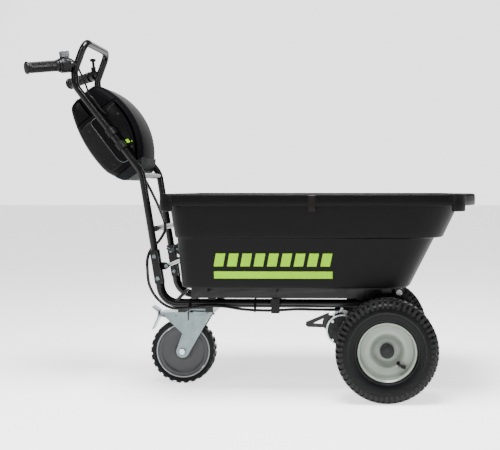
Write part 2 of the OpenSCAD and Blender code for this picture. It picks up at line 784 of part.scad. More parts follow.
module caster_fork() color("#c3cbd3") difference() {
    union() {
        for (side = [-1, 1])
            side_plate(side * (fork_gap + fork_t / 2) - fork_t / 2, side * (fork_gap + fork_t / 2) + fork_t / 2) {
                fork_leg();
                polygon([[-314, 230], [swivel_x - 36, 230], [caster_x + 4, 158]]);
            }
        translate([swivel_x, 0, 225]) cylinder(r = crown_r, h = 8);
        translate([-314, -fork_gap - 1, 226]) cube([314 + swivel_x, 2 * fork_gap + 2, 4]);
        translate([swivel_x, 0, 226]) cylinder(r = 7.5, h = 19);
        translate([swivel_x, 0, plate_top + 0.4]) cylinder(r = 11, h = 4);
    }
    y_rod([caster_x, caster_r], 6.05, -60, 60);
    y_rod(pedal_pivot + [12, 4], 3.1, -60, 60);
}

module caster_axle() color(steel) {
    y_rod([caster_x, caster_r], 6, -fork_gap - fork_t - 2, fork_gap + fork_t + 2);
    for (side = [-1, 1])
        translate([caster_x, side * (fork_gap + fork_t + 0.1), caster_r]) rotate([-90 * side, 0, 0])
            cylinder(r = 10, h = 7, $fn = 6);
}

module caster_place() translate([caster_x, 0, caster_r]) rotate([-90, 0, 0]) children();

module caster_core() color("#3b3d40") caster_place() difference() {
    union() {
        rotate_extrude($fn = 96) polygon([[6.05, -26], [16, -26], [20, -12], [68, -8], [70, -19], [77.9, -19],
                [77.9, 19], [70, 19], [68, 8], [20, 12], [16, 26], [6.05, 26]]);
    }
}

module caster_rim() color("#cfd2d4") caster_place() rotate_extrude($fn = 96)
    polygon([[78, -20], [86, -20], [86, 20], [78, 20]]);

module caster_tyre() color("#1a1a1a") caster_place() rotate_extrude($fn = 96)
    polygon([[86.1, -caster_w / 2 + 2], [96, -caster_w / 2], [caster_r - 3, -caster_w / 2 + 2],
            [caster_r, -caster_w / 2 + 7], [caster_r, caster_w / 2 - 7], [caster_r - 3, caster_w / 2 - 2],
            [96, caster_w / 2], [86.1, caster_w / 2 - 2]]);

// A rocking pedal: the upper lip is pressed to lock the wheel, the lower one to free it
module brake_pedal() color(steel) {
    side_plate(-22, 22) polygon([[-344, 246], [-340, 247], [-319, 233], [-319, 214], [-338, 172],
            [-342, 173], [-324, 214], [-324, 231]]);
    y_rod(pedal_pivot + [12, 4], 3, -fork_gap - fork_t - 3, fork_gap + fork_t + 3);
    side_plate(-22, 22) polygon([[-319, 214], [-302, 215], [-302, 221], [-319, 222]]);
}

// ---- Tub ----

module tub_level(shape, inset, z) {
    for (side = [-1, 1]) {
        translate([shape[0] + shape[3], side * (shape[2] - shape[3]), z])
            cylinder(r = shape[3] - inset, h = 0.01, $fn = 32);
        translate([shape[1] - shape[4], side * (shape[2] - shape[4]), z])
            cylinder(r = shape[4] - inset, h = 0.01, $fn = 32);
    }
}

module tub_tier(top, top_z, low, low_z, inset) hull() {
    tub_level(top, inset, top_z - 0.01);
    tub_level(low, inset, low_z);
}

// Plan outline of the rim, with a pouring lip that bows out at the front
module rim_plan(inset) {
    half = rim_half - inset;
    back = rim_rear_x + inset;
    front = rim_front_x - inset;
    rear_r = 42 - inset;
    front_r = 62 - inset;
    polygon([[back + rear_r, -half], [front - front_r, -half], [front, -half + front_r],
            [front, half - front_r], [front - front_r, half], [back + rear_r, half],
            [back, half - rear_r], [back, -half + rear_r]]);
    for (side = [-1, 1]) {
        translate([back + rear_r, side * (half - rear_r)]) circle(r = rear_r);
        translate([front - front_r, side * (half - front_r)]) circle(r = front_r);
    }
    intersection() {
        translate([lip_x - 596, 0]) circle(r = 596 - inset, $fn = 128);
        translate([front - 40, -half + front_r]) square([160, 2 * (half - front_r)]);
    }
}

module tub_shell() color("#1e1f21") difference() {
    union() {
        tub_tier(tub_at_top, tub_top_z, tub_at_step, step_z, 0);
        tub_tier(tub_below_step, step_z + 1, tub_at_bottom, tub_bottom, 0);
        translate([0, 0, rim_top - 4]) linear_extrude(4) rim_plan(0);
        translate([0, 0, rim_skirt_z]) linear_extrude(rim_top - rim_skirt_z - 2) difference() {
            rim_plan(0);
            rim_plan(4);
        }
        translate([0, 0, lug_z]) linear_extrude(rim_skirt_z - lug_z + 0.5) intersection() {
            difference() {
                rim_plan(0);
                rim_plan(7);
            }
            for (x = [-253, 165.5, 594]) translate([x, -400]) square([44, 800]);
        }
    }
    tub_tier(tub_at_top, tub_top_z + 0.1, tub_at_step, step_z + tub_wall, tub_wall);
    tub_tier(tub_below_step, step_z + tub_wall + 1, tub_at_bottom, tub_bottom + tub_wall, tub_wall);
    for (x = [-150, 60, 270, 410], y = [-150, 150])
        translate([x, y, tub_bottom - 1]) cylinder(r = 4.2, h = 10);
    for (z = [412, 452]) translate([-220, 0, z]) rotate([0, 90, 0]) cylinder(r = 4.2, h = 40);
}

// Steel cradle under the tub: two tubes, cross channels, hinge eyes and the latch bracket
module tub_support() color(black) difference() {
    union() {
        for (side = [-1, 1]) {
            tube_run([[-195, side * tube_y, support_z], [437, side * tube_y, support_z]], [], support_r, 2);
            y_rod(hinge, 13, side * tube_y - 8.5, side * tube_y + 8.5);
        }
        for (x = [-150, 60, 270, 410]) translate([x - 15, -185, support_z + support_r - 1])
            cube([30, 370, tub_bottom - support_z - support_r + 0.9]);
        // Side skirts that close the gap under the tub
        for (y = [-tube_y - 15, tube_y + 11]) side_plate(y, y + 4)
            translate([-193, support_z - 13]) square([616, tub_bottom - support_z + 12.9]);
        for (y = [-9, 5]) side_plate(y, y + 4)
            polygon([[-228, 470], [-225.6, 400], [-240, 400], [-272, 424], [-272, 442], [-240, 470]]);
        side_plate(-20, 20) polygon([[-228, 470], [-231, 470], [-226.4, 390], [-223.4, 390]]);
    }
    y_rod(hinge, hinge_r + 0.05, -200, 200);
    y_rod(latch_pivot, 4.05, -20, 20);
    for (x = [-150, 60, 270, 410], y = [-150, 150])
        translate([x, y, tub_bottom - 20]) cylinder(r = 4.2, h = 30);
    for (z = [412, 452]) translate([-230, 0, z]) rotate([0, 90, 0]) cylinder(r = 4.2, h = 60);
}

// Plain lime stripe and blocks on both sides of the lower tier
module side_decals() color("#b2d83c") mirrored()
    translate([0, -tub_at_bottom[2] - 0.25, tub_bottom])
        rotate([atan((tub_below_step[2] - tub_at_bottom[2]) / (step_z + 1 - tub_bottom)), 0, 0])
            rotate([90, 0, 0]) linear_extrude(0.5) {
                translate([-107, 33]) square([354, 22]);
                for (i = [0:8]) translate([-107 + 39.75 * i, 71])
                    polygon([[0, 0], [28, 0], [36, 40], [8, 40]]);
            }

module latch_hook() color(steel) {
    side_plate(-4, 4) difference() {
        union() {
            translate(latch_pivot) circle(r = 9);
            polygon([[-256, 432], [-243, 384], [-240, 376], [-251, 371], [-249, 366], [-236, 368],
                [-228, 378], [-232, 386], [-246, 438]]);
            polygon([[-262, 441], [-262, 427], [-292, 424], [-300, 432], [-296, 436], [-290, 432]]);
        }
    }
    y_rod(latch_pivot, 4, -11, 11);
}

main_frame();
handle_frame();
joint_plates();
frame_bolts();
latch_bar();
rest_buffers();
tub_hinge_pins();
housing_shell();
housing_cover();
housing_cap();
side_panels();
housing_clamps();
housing_screws();
battery_lid();
battery_pack();
battery_socket();
controller();
throttle_housing();
switch_pod();
mode_button();
throttle_sleeve();
right_grip();
left_grip();
left_clamp();
direction_lever();
throttle_cable();
wiring_harness();
cable_ties();
gearbox_right();
gearbox_left();
gearbox_bolts();
axle_tubes();
axle_bearings();
axle_shaft();
ring_gear();
idler_gear();
motor_rotor();
motor_can();
motor_cap();
motor_screws();
motor_bracket();
right_tyre();
right_rim();
right_hub_cap();
right_valve();
left_tyre();
left_rim();
left_hub_cap();
left_valve();
caster_plate();
caster_fork();
caster_axle();
caster_core();
caster_rim();
caster_tyre();
brake_pedal();
tub_shell();
tub_support();
side_decals();
latch_hook();
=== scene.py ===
"""Battery-powered wheelbarrow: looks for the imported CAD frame, in metres."""
import json
import math
import bmesh
import bpy
from mathutils import Matrix, Vector

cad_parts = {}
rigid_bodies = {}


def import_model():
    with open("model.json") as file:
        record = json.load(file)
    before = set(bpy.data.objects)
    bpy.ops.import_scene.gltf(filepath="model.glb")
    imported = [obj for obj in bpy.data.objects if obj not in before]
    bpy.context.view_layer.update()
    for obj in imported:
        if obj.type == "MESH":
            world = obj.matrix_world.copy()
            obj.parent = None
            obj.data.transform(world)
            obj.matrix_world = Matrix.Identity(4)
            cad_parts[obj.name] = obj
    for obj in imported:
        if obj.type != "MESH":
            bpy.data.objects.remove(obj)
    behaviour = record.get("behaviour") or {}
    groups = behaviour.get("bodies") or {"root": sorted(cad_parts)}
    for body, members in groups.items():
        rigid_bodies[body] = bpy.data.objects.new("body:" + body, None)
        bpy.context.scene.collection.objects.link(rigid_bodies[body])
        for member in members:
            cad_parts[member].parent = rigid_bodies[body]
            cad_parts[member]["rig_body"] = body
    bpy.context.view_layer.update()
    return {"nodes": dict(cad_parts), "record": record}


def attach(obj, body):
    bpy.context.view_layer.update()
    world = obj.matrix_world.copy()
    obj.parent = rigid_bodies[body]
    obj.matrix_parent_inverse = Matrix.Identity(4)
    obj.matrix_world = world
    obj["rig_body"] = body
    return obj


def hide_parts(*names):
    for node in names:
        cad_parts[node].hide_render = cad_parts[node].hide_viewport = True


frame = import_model()
NODES = frame["nodes"]
MM = 0.001

# Dimensions that repeat the CAD design, in metres
LEAN = math.radians(37.5)
LEAN_ORIGIN = Vector((-0.395, 0, 0.736))
AXLE = Vector((0.408, 0, 0.152))
HALF_TRACK = 0.261
CASTER = Vector((-0.241, 0, 0.104))


# ---- Mesh helpers ----

def add_mesh(name, verts, faces, sharp=35):
    mesh = bpy.data.meshes.new(name)
    mesh.from_pydata([tuple(v) for v in verts], [], faces)
    mesh.validate()
    bm = bmesh.new()
    bm.from_mesh(mesh)
    bmesh.ops.recalc_face_normals(bm, faces=bm.faces)
    bm.to_mesh(mesh)
    bm.free()
    mesh.shade_smooth()
    mesh.set_sharp_from_angle(angle=math.radians(sharp))
    obj = bpy.data.objects.new(name, mesh)
    bpy.context.scene.collection.objects.link(obj)
    return obj


def finish_piece(obj, body, material, slot, *nodes):
    obj.data.materials.clear()
    obj.data.materials.append(material)
    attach(obj, body)
    if nodes:
        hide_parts(*nodes)
    return obj


def loft(name, rings, closed_ring=True, caps=True, sharp=35):
    """Joins rings with the same number of points into one skin."""
    n = len(rings[0])
    verts = [p for ring in rings for p in ring]
    faces = []
    for i in range(len(rings) - 1):
        for k in range(n if closed_ring else n - 1):
            k2 = (k + 1) % n
            faces.append((i * n + k, i * n + k2, (i + 1) * n + k2, (i + 1) * n + k))
    if caps:
        faces.append(tuple(range(n)))
        faces.append(tuple(reversed(range((len(rings) - 1) * n, len(rings) * n))))
    return add_mesh(name, verts, faces, sharp)


def lathe(name, profile, centre, side=1, steps=128, sharp=32):
    """Turns (radius, outward) points about a Y axis through centre."""
    rings = []
    for i in range(steps):
        a = 2 * math.pi * i / steps
        rings.append([centre + Vector((r * math.cos(a), side * w, r * math.sin(a))) for r, w in profile])
    rings.append(rings[0])
    n = len(profile)
    verts = [p for ring in rings[:-1] for p in ring]
    faces = []
    for i in range(steps):
        j = (i + 1) % steps
        for k in range(n):
            k2 = (k + 1) % n
            faces.append((i * n + k, i * n + k2, j * n + k2, j * n + k))
    return add_mesh(name, verts, faces, sharp)


def softened(node, width=0.8, segments=2, material=None, slot=None):
    """A copy of a CAD node with its edges eased, which stands for that node."""
    source = NODES[node]
    mesh = source.data.copy()
    mesh.name = node + "_eased"
    bm = bmesh.new()
    bm.from_mesh(mesh)
    bmesh.ops.remove_doubles(bm, verts=bm.verts, dist=0.00002)
    bmesh.ops.dissolve_limit(bm, angle_limit=math.radians(1.0), verts=bm.verts, edges=bm.edges)
    bm.to_mesh(mesh)
    bm.free()
    mesh.shade_smooth()
    mesh.set_sharp_from_angle(angle=math.radians(40))
    obj = bpy.data.objects.new(node + "_eased", mesh)
    bpy.context.scene.collection.objects.link(obj)
    bevel = obj.modifiers.new("eased", "BEVEL")
    bevel.width = width * MM
    bevel.segments = segments
    bevel.limit_method = "ANGLE"
    bevel.angle_limit = math.radians(40)
    bevel.harden_normals = True
    return finish_piece(obj, source["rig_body"], material, slot, node)


# ---- Materials ----

def surface(name, colour, rough, metal=0.0, vary=0.25, scale=40, bump=0.1, bump_scale=900, rough_vary=0.12,
            coat=0.0, edge_wear_and_highlight=None, specular=0.5, painted_shade=None, painted_shade_reach=0.012):
    """Principled surface with drifting tone and roughness, a fine bump, optional edge wear with painted edge
    highlight, and optional painted shade in recesses.
    """
    mat = bpy.data.materials.new(name)
    mat.use_nodes = True
    tree = mat.node_tree
    link = tree.links.new
    bsdf = tree.nodes["Principled BSDF"]
    bsdf.inputs["Metallic"].default_value = metal
    bsdf.inputs["Coat Weight"].default_value = coat
    bsdf.inputs["Coat Roughness"].default_value = 0.08
    bsdf.inputs["Specular IOR Level"].default_value = specular
    coords = tree.nodes.new("ShaderNodeTexCoord")
    broad = tree.nodes.new("ShaderNodeTexNoise")
    broad.inputs["Scale"].default_value = scale
    broad.inputs["Detail"].default_value = 6
    link(coords.outputs["Object"], broad.inputs["Vector"])
    tone = tree.nodes.new("ShaderNodeValToRGB")
    tone.color_ramp.elements[0].position = 0.3
    tone.color_ramp.elements[1].position = 0.75
    tone.color_ramp.elements[0].color = [c * (1 - vary) for c in colour] + [1]
    tone.color_ramp.elements[1].color = [min(1, c * (1 + vary)) for c in colour] + [1]
    link(broad.outputs["Fac"], tone.inputs["Fac"])
    out = tone.outputs["Color"]
    fine = tree.nodes.new("ShaderNodeTexNoise")
    fine.inputs["Scale"].default_value = bump_scale
    fine.inputs["Detail"].default_value = 4
    link(coords.outputs["Object"], fine.inputs["Vector"])
    # Painted shade: an ambient-occlusion mask darkens the colour in recesses and between parts, where shade falls.
    if painted_shade is not None:
        ao = tree.nodes.new("ShaderNodeAmbientOcclusion")
        ao.inputs["Distance"].default_value = painted_shade_reach
        mix = tree.nodes.new("ShaderNodeMix")
        mix.data_type = "RGBA"
        link(ao.outputs["AO"], mix.inputs["Factor"])
        mix.inputs["A"].default_value = list(painted_shade) + [1]
        link(out, mix.inputs["B"])
        out = mix.outputs["Result"]
    # Lighter colour on sharp convex edges: partly edge wear, partly a painted highlight along the edges.
    if edge_wear_and_highlight is not None:
        geometry = tree.nodes.new("ShaderNodeNewGeometry")
        edge = tree.nodes.new("ShaderNodeMapRange")
        edge.inputs["From Min"].default_value = 0.54
        edge.inputs["From Max"].default_value = 0.62
        link(geometry.outputs["Pointiness"], edge.inputs["Value"])
        mix = tree.nodes.new("ShaderNodeMix")
        mix.data_type = "RGBA"
        link(edge.outputs["Result"], mix.inputs["Factor"])
        link(out, mix.inputs["A"])
        mix.inputs["B"].default_value = list(edge_wear_and_highlight) + [1]
        out = mix.outputs["Result"]
    link(out, bsdf.inputs["Base Color"])
    shine = tree.nodes.new("ShaderNodeMapRange")
    shine.inputs["To Min"].default_value = max(0.02, rough - rough_vary)
    shine.inputs["To Max"].default_value = min(1.0, rough + rough_vary)
    link(broad.outputs["Fac"], shine.inputs["Value"])
    link(shine.outputs["Result"], bsdf.inputs["Roughness"])
    relief = tree.nodes.new("ShaderNodeBump")
    relief.inputs["Strength"].default_value = bump
    relief.inputs["Distance"].default_value = 0.0006
    link(fine.outputs["Fac"], relief.inputs["Height"])
    link(relief.outputs["Normal"], bsdf.inputs["Normal"])
    return mat


paint = surface("frame_paint", (0.0022, 0.0022, 0.0024), 0.2, vary=0.2, scale=30, bump=0.03, bump_scale=400,
                specular=0.22, edge_wear_and_highlight=(0.005, 0.005, 0.0053))
# The tub's lighter edge colour is partly scuffing and partly a painted highlight on the rim edges and lugs.
tub_mat = surface("tub_plastic", (0.0020, 0.0020, 0.0021), 0.42, vary=0.12, scale=9, bump=0.12, bump_scale=1400,
                  rough_vary=0.06, specular=0.07, edge_wear_and_highlight=(0.008, 0.006, 0.0062))
# The tyre's lighter edge colour is partly wear and partly a painted highlight that lifts the tread lugs.
tyre_mat = surface("tyre_rubber", (0.0024, 0.0026, 0.0029), 0.38, vary=0.3, scale=60, bump=0.2, bump_scale=1500,
                   specular=0.10, edge_wear_and_highlight=(0.010, 0.010, 0.010))
# Painted shade: the wide ambient-occlusion darkening deepens the rim's dish and recesses as shade there.
rim_mat = surface("rim_paint", (0.17, 0.20, 0.165), 0.34, vary=0.05, scale=25, bump=0.06, bump_scale=700,
                  coat=0.25, painted_shade=(0.012, 0.016, 0.012), painted_shade_reach=0.07)
# Painted shade: the zinc parts darken in their recesses by ambient occlusion.
zinc = surface("zinc", (0.12, 0.15, 0.155), 0.22, metal=0.95, vary=0.22, scale=35, bump=0.12, bump_scale=400,
               painted_shade=(0.012, 0.015, 0.016))
steel = surface("steel", (0.47, 0.48, 0.50), 0.27, metal=1.0, vary=0.12, scale=120, bump=0.1, bump_scale=800)
gloss = surface("housing_plastic", (0.0022, 0.0022, 0.0025), 0.2, vary=0.1, scale=20, bump=0.01, bump_scale=300,
                rough_vary=0.03, specular=0.1)
cover_mat = surface("cover_plastic", (0.0030, 0.0030, 0.0034), 0.3, vary=0.1, scale=20, bump=0.01, bump_scale=300,
                    rough_vary=0.03, specular=0.003)
cap_mat = surface("cap_plastic", (0.010, 0.0105, 0.0115), 0.42, vary=0.15, scale=30, bump=0.1, bump_scale=1500,
                  specular=0.01)
soft_black = surface("soft_plastic", (0.003, 0.003, 0.0033), 0.36, vary=0.2, scale=60, bump=0.1, bump_scale=1500,
                     specular=0.15)
pod_mat = surface("pod_plastic", (0.05, 0.054, 0.058), 0.42, vary=0.1, scale=60, bump=0.15, bump_scale=1500)
white_mat = surface("button_plastic", (0.72, 0.74, 0.75), 0.3, vary=0.04, scale=60, bump=0.05, bump_scale=1500)
grip_mat = surface("grip_rubber", (0.003, 0.003, 0.003), 0.42, vary=0.3, scale=80, bump=0.12, bump_scale=2200,
                   specular=0.15)
sheath = surface("cable_sheath", (0.0025, 0.0025, 0.0028), 0.34, vary=0.2, scale=90, bump=0.08, bump_scale=1800,
                 specular=0.15)
hub_mat = surface("cap_black", (0.005, 0.0053, 0.0056), 0.36, vary=0.2, scale=60, bump=0.1, bump_scale=1500,
                  specular=0.2)
core_mat = surface("caster_plastic", (0.009, 0.0095, 0.011), 0.46, vary=0.1, scale=30, bump=0.15, bump_scale=1300)
ring_mat = surface("caster_ring", (0.22, 0.23, 0.24), 0.4, vary=0.06, scale=30, bump=0.1, bump_scale=1300)
lime = surface("lime", (0.19, 0.44, 0.0003), 0.55, vary=0.04, scale=18, bump=0.04, bump_scale=1200, specular=0.02)
cast = surface("cast", (0.006, 0.0063, 0.0066), 0.45, metal=0.2, vary=0.25, scale=90, bump=0.3, bump_scale=900)
machined = surface("gear_steel", (0.33, 0.34, 0.36), 0.3, metal=1.0, vary=0.15, scale=120, bump=0.1)
copper = surface("copper", (0.55, 0.26, 0.11), 0.35, metal=1.0, vary=0.2, scale=160, bump=0.2)
battery_mat = surface("battery_plastic", (0.03, 0.03, 0.034), 0.4, vary=0.15, scale=50, bump=0.2)
alloy = surface("alloy", (0.43, 0.45, 0.47), 0.38, metal=0.9, vary=0.12, scale=90, bump=0.2)
vent_mat = surface("vent_plastic", (0.004, 0.0042, 0.0044), 0.4, vary=0.1, scale=60, bump=0.05, bump_scale=1400,
                   specular=0.15)

BY_SLOT = {
    "frame_paint": paint, "tub_plastic": tub_mat, "tyre_rubber": tyre_mat, "rim_paint": rim_mat, "zinc": zinc,
    "steel": steel, "housing_plastic": gloss, "cap_plastic": cap_mat, "soft_plastic": soft_black,
    "pod_plastic": pod_mat, "button_plastic": white_mat, "grip_rubber": grip_mat, "cable_sheath": sheath,
    "cap_black": hub_mat, "caster_plastic": core_mat, "caster_ring": ring_mat, "lime": lime, "cast": cast,
    "gear_steel": machined, "copper": copper, "battery_plastic": battery_mat, "alloy": alloy}
SLOT_OF = {s["node"]: s["material_slot"] for s in frame["record"]["subparts"]}
for node, obj in NODES.items():
    obj.data.materials.clear()
    obj.data.materials.append(BY_SLOT[SLOT_OF[node]])


def ease(width, *nodes):
    for n in nodes:
        softened(n, width, 2, BY_SLOT[SLOT_OF[n]], SLOT_OF[n])


ease(0.7, "joint_plates", "frame_bolts", "caster_plate", "caster_fork", "brake_pedal", "motor_bracket",
     "latch_hook", "caster_axle", "tub_hinge_pins", "motor_screws")
softened("housing_screws", 0.5, 2, hub_mat, "steel")
ease(1.2, "gearbox_right", "gearbox_left", "motor_cap", "motor_can", "left_clamp",
     "direction_lever", "switch_pod", "mode_button", "throttle_housing", "rest_buffers", "battery_pack",
     "housing_clamps", "tub_support")


# ---- Tub ----

STEP_Z = 0.482


def plan_ring(rear, front, half, rear_r, front_r, z, bow=0.0):
    """A rounded plan outline at height z whose front edge can bow forward."""
    points = []

    def arc(cx, cy, r, start, steps=14):
        for i in range(steps + 1):
            a = math.radians(start + 90 * i / steps)
            points.append(Vector((cx + r * math.cos(a), cy + r * math.sin(a), z)))

    def straight(a, b, steps):
        for i in range(1, steps):
            p = a.lerp(b, i / steps)
            points.append(p)

    arc(rear + rear_r, -half + rear_r, rear_r, 180)
    straight(Vector((rear + rear_r, -half, z)), Vector((front - front_r, -half, z)), 40)
    arc(front - front_r, -half + front_r, front_r, 270)
    reach = half - front_r
    straight(Vector((front, -reach, z)), Vector((front, reach, z)), 30)
    for p in points[-29:]:
        p.x += bow * (1 - (p.y / reach) ** 2)
    arc(front - front_r, half - front_r, front_r, 0)
    straight(Vector((front - front_r, half, z)), Vector((rear + rear_r, half, z)), 40)
    arc(rear + rear_r, half - rear_r, rear_r, 90)
    straight(Vector((rear, half - rear_r, z)), Vector((rear, -half + rear_r, z)), 16)
    return points


TOP = (-0.244, 0.641, 0.290, 0.060, 0.110)
AT_STEP = (-0.227, 0.580, 0.268, 0.058, 0.104)
BELOW = (-0.222, 0.556, 0.260, 0.056, 0.096)
FLOOR = (-0.213, 0.479, 0.222, 0.050, 0.080)
RIM = (-0.262, 0.640, 0.305, 0.042, 0.062)
TUB_BOTTOM, RIM_TOP, LIP_BOW = 0.327, 0.612, 0.055


def tier(low, high, low_z, high_z, z, inset=0.0, bow=0.0):
    k = (z - low_z) / (high_z - low_z)
    v = [a + (b - a) * k for a, b in zip(low, high)]
    return plan_ring(v[0] + inset, v[1] - inset, v[2] - inset, max(0.01, v[3] - inset), max(0.01, v[4] - inset),
                     z, bow)


def lower(z, inset=0.0):
    return tier(FLOOR, BELOW, TUB_BOTTOM, STEP_Z, z, inset)


def upper(z, inset=0.0):
    return tier(AT_STEP, TOP, STEP_Z, RIM_TOP, z, inset)


def rim_ring(z, inset=0.0):
    return plan_ring(RIM[0] + inset, RIM[1] - inset, RIM[2] - inset, RIM[3] - inset, RIM[4] - inset, z, LIP_BOW)


def make_tub():
    rings = [lower(TUB_BOTTOM, 0.030), lower(TUB_BOTTOM, 0.012)]
    for a in range(0, 91, 15):
        c = math.radians(a)
        rings.append(lower(TUB_BOTTOM + 0.009 * (1 - math.cos(c)), 0.009 * (1 - math.sin(c))))
    for z in (0.36, 0.40, 0.44, 0.472):
        rings.append(lower(z))
    for a in range(0, 91, 18):
        c = math.radians(a)
        rings.append(lower(0.4765 + 0.004 * math.sin(c), -0.003 * (1 - math.cos(c))))
    for a in range(0, 91, 18):
        c = math.radians(a)
        rings.append(upper(0.4815 + 0.004 * (1 - math.cos(c)), 0.004 * (1 - math.sin(c))))
    for z in (0.50, 0.53, 0.56, 0.585, 0.603):
        rings.append(upper(z))
    rings += [rim_ring(0.6045, 0.0052), rim_ring(0.579, 0.0045), rim_ring(0.5772, 0.0035), rim_ring(0.577, 0.0025),
              rim_ring(0.5775, 0.001), rim_ring(0.579, 0.0), rim_ring(0.592, -0.0004)]
    for a in range(0, 91, 15):
        c = math.radians(a)
        rings.append(rim_ring(0.605 + 0.0070 * math.sin(c), 0.0062 * (1 - math.cos(c))))
    rings.append(rim_ring(RIM_TOP, 0.0075))
    for a in range(0, 91, 15):
        c = math.radians(a)
        rings.append(upper(RIM_TOP - 0.007 * (1 - math.cos(c)), 0.0045 - 0.006 * (1 - math.sin(c))))
    for z in (0.58, 0.55, 0.52, 0.493):
        rings.append(upper(z, 0.0042))
    rings += [upper(0.487, 0.0055), lower(0.4845, 0.0), lower(0.482, 0.0035), lower(0.475, 0.0045)]
    for z in (0.44, 0.40, 0.36, 0.345):
        rings.append(lower(z, 0.0045))
    for a in range(0, 91, 18):
        c = math.radians(a)
        rings.append(lower(0.3405 - 0.009 * math.sin(c), 0.0045 + 0.010 * (1 - math.cos(c))))
    rings.append(lower(0.3312, 0.035))
    tub = loft("tub_body", rings, sharp=40)
    finish_piece(tub, "tub", tub_mat, "tub_plastic", "tub_shell")


def make_lugs():
    """Thickened pads under the rim at the corners and at the middle of each side."""
    section = [(0.0006, 0.6085), (-0.0011, 0.6065), (-0.0013, 0.585), (-0.0013, 0.566), (0.0004, 0.5615),
               (0.0022, 0.5608), (0.0070, 0.5608), (0.0085, 0.5625), (0.0088, 0.580)]
    rings = [rim_ring(z, inset) for inset, z in section]
    count = len(rings[0])
    for low_x, high_x in ((-0.260, -0.210), (0.1655, 0.2085), (0.594, 0.637)):
        for side in (-1, 1):
            picks = [k for k in range(count) if low_x <= rings[0][k].x <= high_x and rings[0][k].y * side > 0.2]
            breaks = [i for i in range(1, len(picks)) if picks[i] - picks[i - 1] > 1]
            run = picks[breaks[0]:] + picks[:breaks[0]] if breaks else picks
            columns = [[ring[k] for ring in rings] for k in run]
            lug = loft(f"rim_lug_{'r' if side < 0 else 'l'}_{round(low_x * 1000)}".replace("-", "m"), columns,
                       sharp=30)
            finish_piece(lug, "tub", tub_mat, "tub_plastic")


make_tub()
make_lugs()


# ---- Drive wheels ----

def tyre_profile():
    """Closed section of the tyre: radius and distance from the wheel's middle, outward."""
    outer = [(0.0870, 0.039), (0.0905, 0.0435), (0.100, 0.0472), (0.108, 0.0485), (0.116, 0.0488), (0.124, 0.0482),
             (0.131, 0.0468), (0.137, 0.0440), (0.1415, 0.0395), (0.1445, 0.033), (0.1465, 0.024), (0.1475, 0.012)]
    mirror = [(r, -w) for r, w in reversed(outer)]
    inner = [(0.084, -0.037), (0.088, -0.034), (0.104, -0.040), (0.122, -0.040), (0.137, -0.030), (0.1405, 0.0),
             (0.137, 0.030), (0.122, 0.040), (0.104, 0.040), (0.088, 0.034), (0.084, 0.037)]
    return outer + [(0.1478, 0.0)] + mirror + inner


def tread_block(bm, corners, low_r, high_r, centre, side):
    """One raised lug over a patch given as (angle, outward) corners, eased at its top."""
    mid = Vector((sum(c[0] for c in corners) / len(corners), sum(c[1] for c in corners) / len(corners)))
    layers = []
    for r, shrink in ((low_r, 1.0), (high_r - 0.0009, 0.97), (high_r, 0.86)):
        layer = []
        for a, w in corners:
            p = mid + (Vector((a, w)) - mid) * shrink
            fall = 0.0 if abs(p.y) < 0.030 else (abs(p.y) - 0.030) ** 2 * 26
            rr = r - fall
            layer.append(bm.verts.new(centre + Vector((rr * math.cos(p.x), side * p.y, rr * math.sin(p.x)))))
        layers.append(layer)
    n = len(corners)
    for low, high in zip(layers, layers[1:]):
        for k in range(n):
            bm.faces.new((low[k], low[(k + 1) % n], high[(k + 1) % n], high[k]))
    bm.faces.new(layers[-1])
    bm.faces.new(list(reversed(layers[0])))


def make_tyre(side, name):
    centre = AXLE + Vector((0, side * HALF_TRACK, 0))
    body = lathe(name + "_carcass", tyre_profile(), centre, side, 160)
    finish_piece(body, "drive_axle", tyre_mat, "tyre_rubber", name)
    count = 54
    pitch = 2 * math.pi / count
    bm = bmesh.new()
    for i in range(count):
        a = i * pitch
        for edge in (-1, 1):
            shift = 0 if edge > 0 else pitch / 2
            shoulder = [(a + shift, edge * 0.0315), (a + shift + pitch * 0.52, edge * 0.0330),
                        (a + shift + pitch * 0.60, edge * 0.0452), (a + shift + pitch * 0.10, edge * 0.0452)]
            tread_block(bm, shoulder, 0.1415, 0.1515, centre, side)
            inner = [(a + shift + pitch * 0.45, edge * 0.0155), (a + shift + pitch * 0.98, edge * 0.0175),
                     (a + shift + pitch * 1.04, edge * 0.0285), (a + shift + pitch * 0.55, edge * 0.0285)]
            tread_block(bm, inner, 0.1455, 0.1520, centre, side)
        crown = [(a, -0.0120), (a + pitch * 0.56, -0.0100), (a + pitch * 0.56, 0.0120), (a, 0.0100)]
        tread_block(bm, crown, 0.1460, 0.1520, centre, side)
        for edge in (-1, 1):
            shift = 0 if edge > 0 else pitch / 2
            b = a + shift + pitch * 0.12
            lug = [(b, 0.1275, 0.0478), (b + pitch * 0.46, 0.1275, 0.0478), (b + pitch * 0.46, 0.1415, 0.0400),
                   (b, 0.1415, 0.0400)]
            low = [bm.verts.new(centre + Vector((r * math.cos(t), side * edge * w, r * math.sin(t))))
                   for t, r, w in lug]
            raised = [(t, r + 0.0012, w + (0.0044 if r > 0.13 else 0.0016)) for t, r, w in lug]
            high = [bm.verts.new(centre + Vector((r * math.cos(t), side * edge * w, r * math.sin(t))))
                    for t, r, w in raised]
            for k in range(4):
                bm.faces.new((low[k], low[(k + 1) % 4], high[(k + 1) % 4], high[k]))
            bm.faces.new(high)
            bm.faces.new(list(reversed(low)))
    bmesh.ops.recalc_face_normals(bm, faces=bm.faces)
    mesh = bpy.data.meshes.new(name + "_tread")
    bm.to_mesh(mesh)
    bm.free()
    tread = bpy.data.objects.new(name + "_tread", mesh)
    bpy.context.scene.collection.objects.link(tread)
    finish_piece(tread, "drive_axle", tyre_mat, "tyre_rubber")
    rib = [(0.0925, 0.0440), (0.0925, 0.0462), (0.0945, 0.0468), (0.0955, 0.0452)]
    for k, r in enumerate((0.0, 0.019, 0.0215)):
        ring = lathe(f"{name}_rib_{k}", [(a + r, w + (0.0028 if r else 0.0)) for a, w in rib], centre, side, 160)
        finish_piece(ring, "drive_axle", tyre_mat, "tyre_rubber")


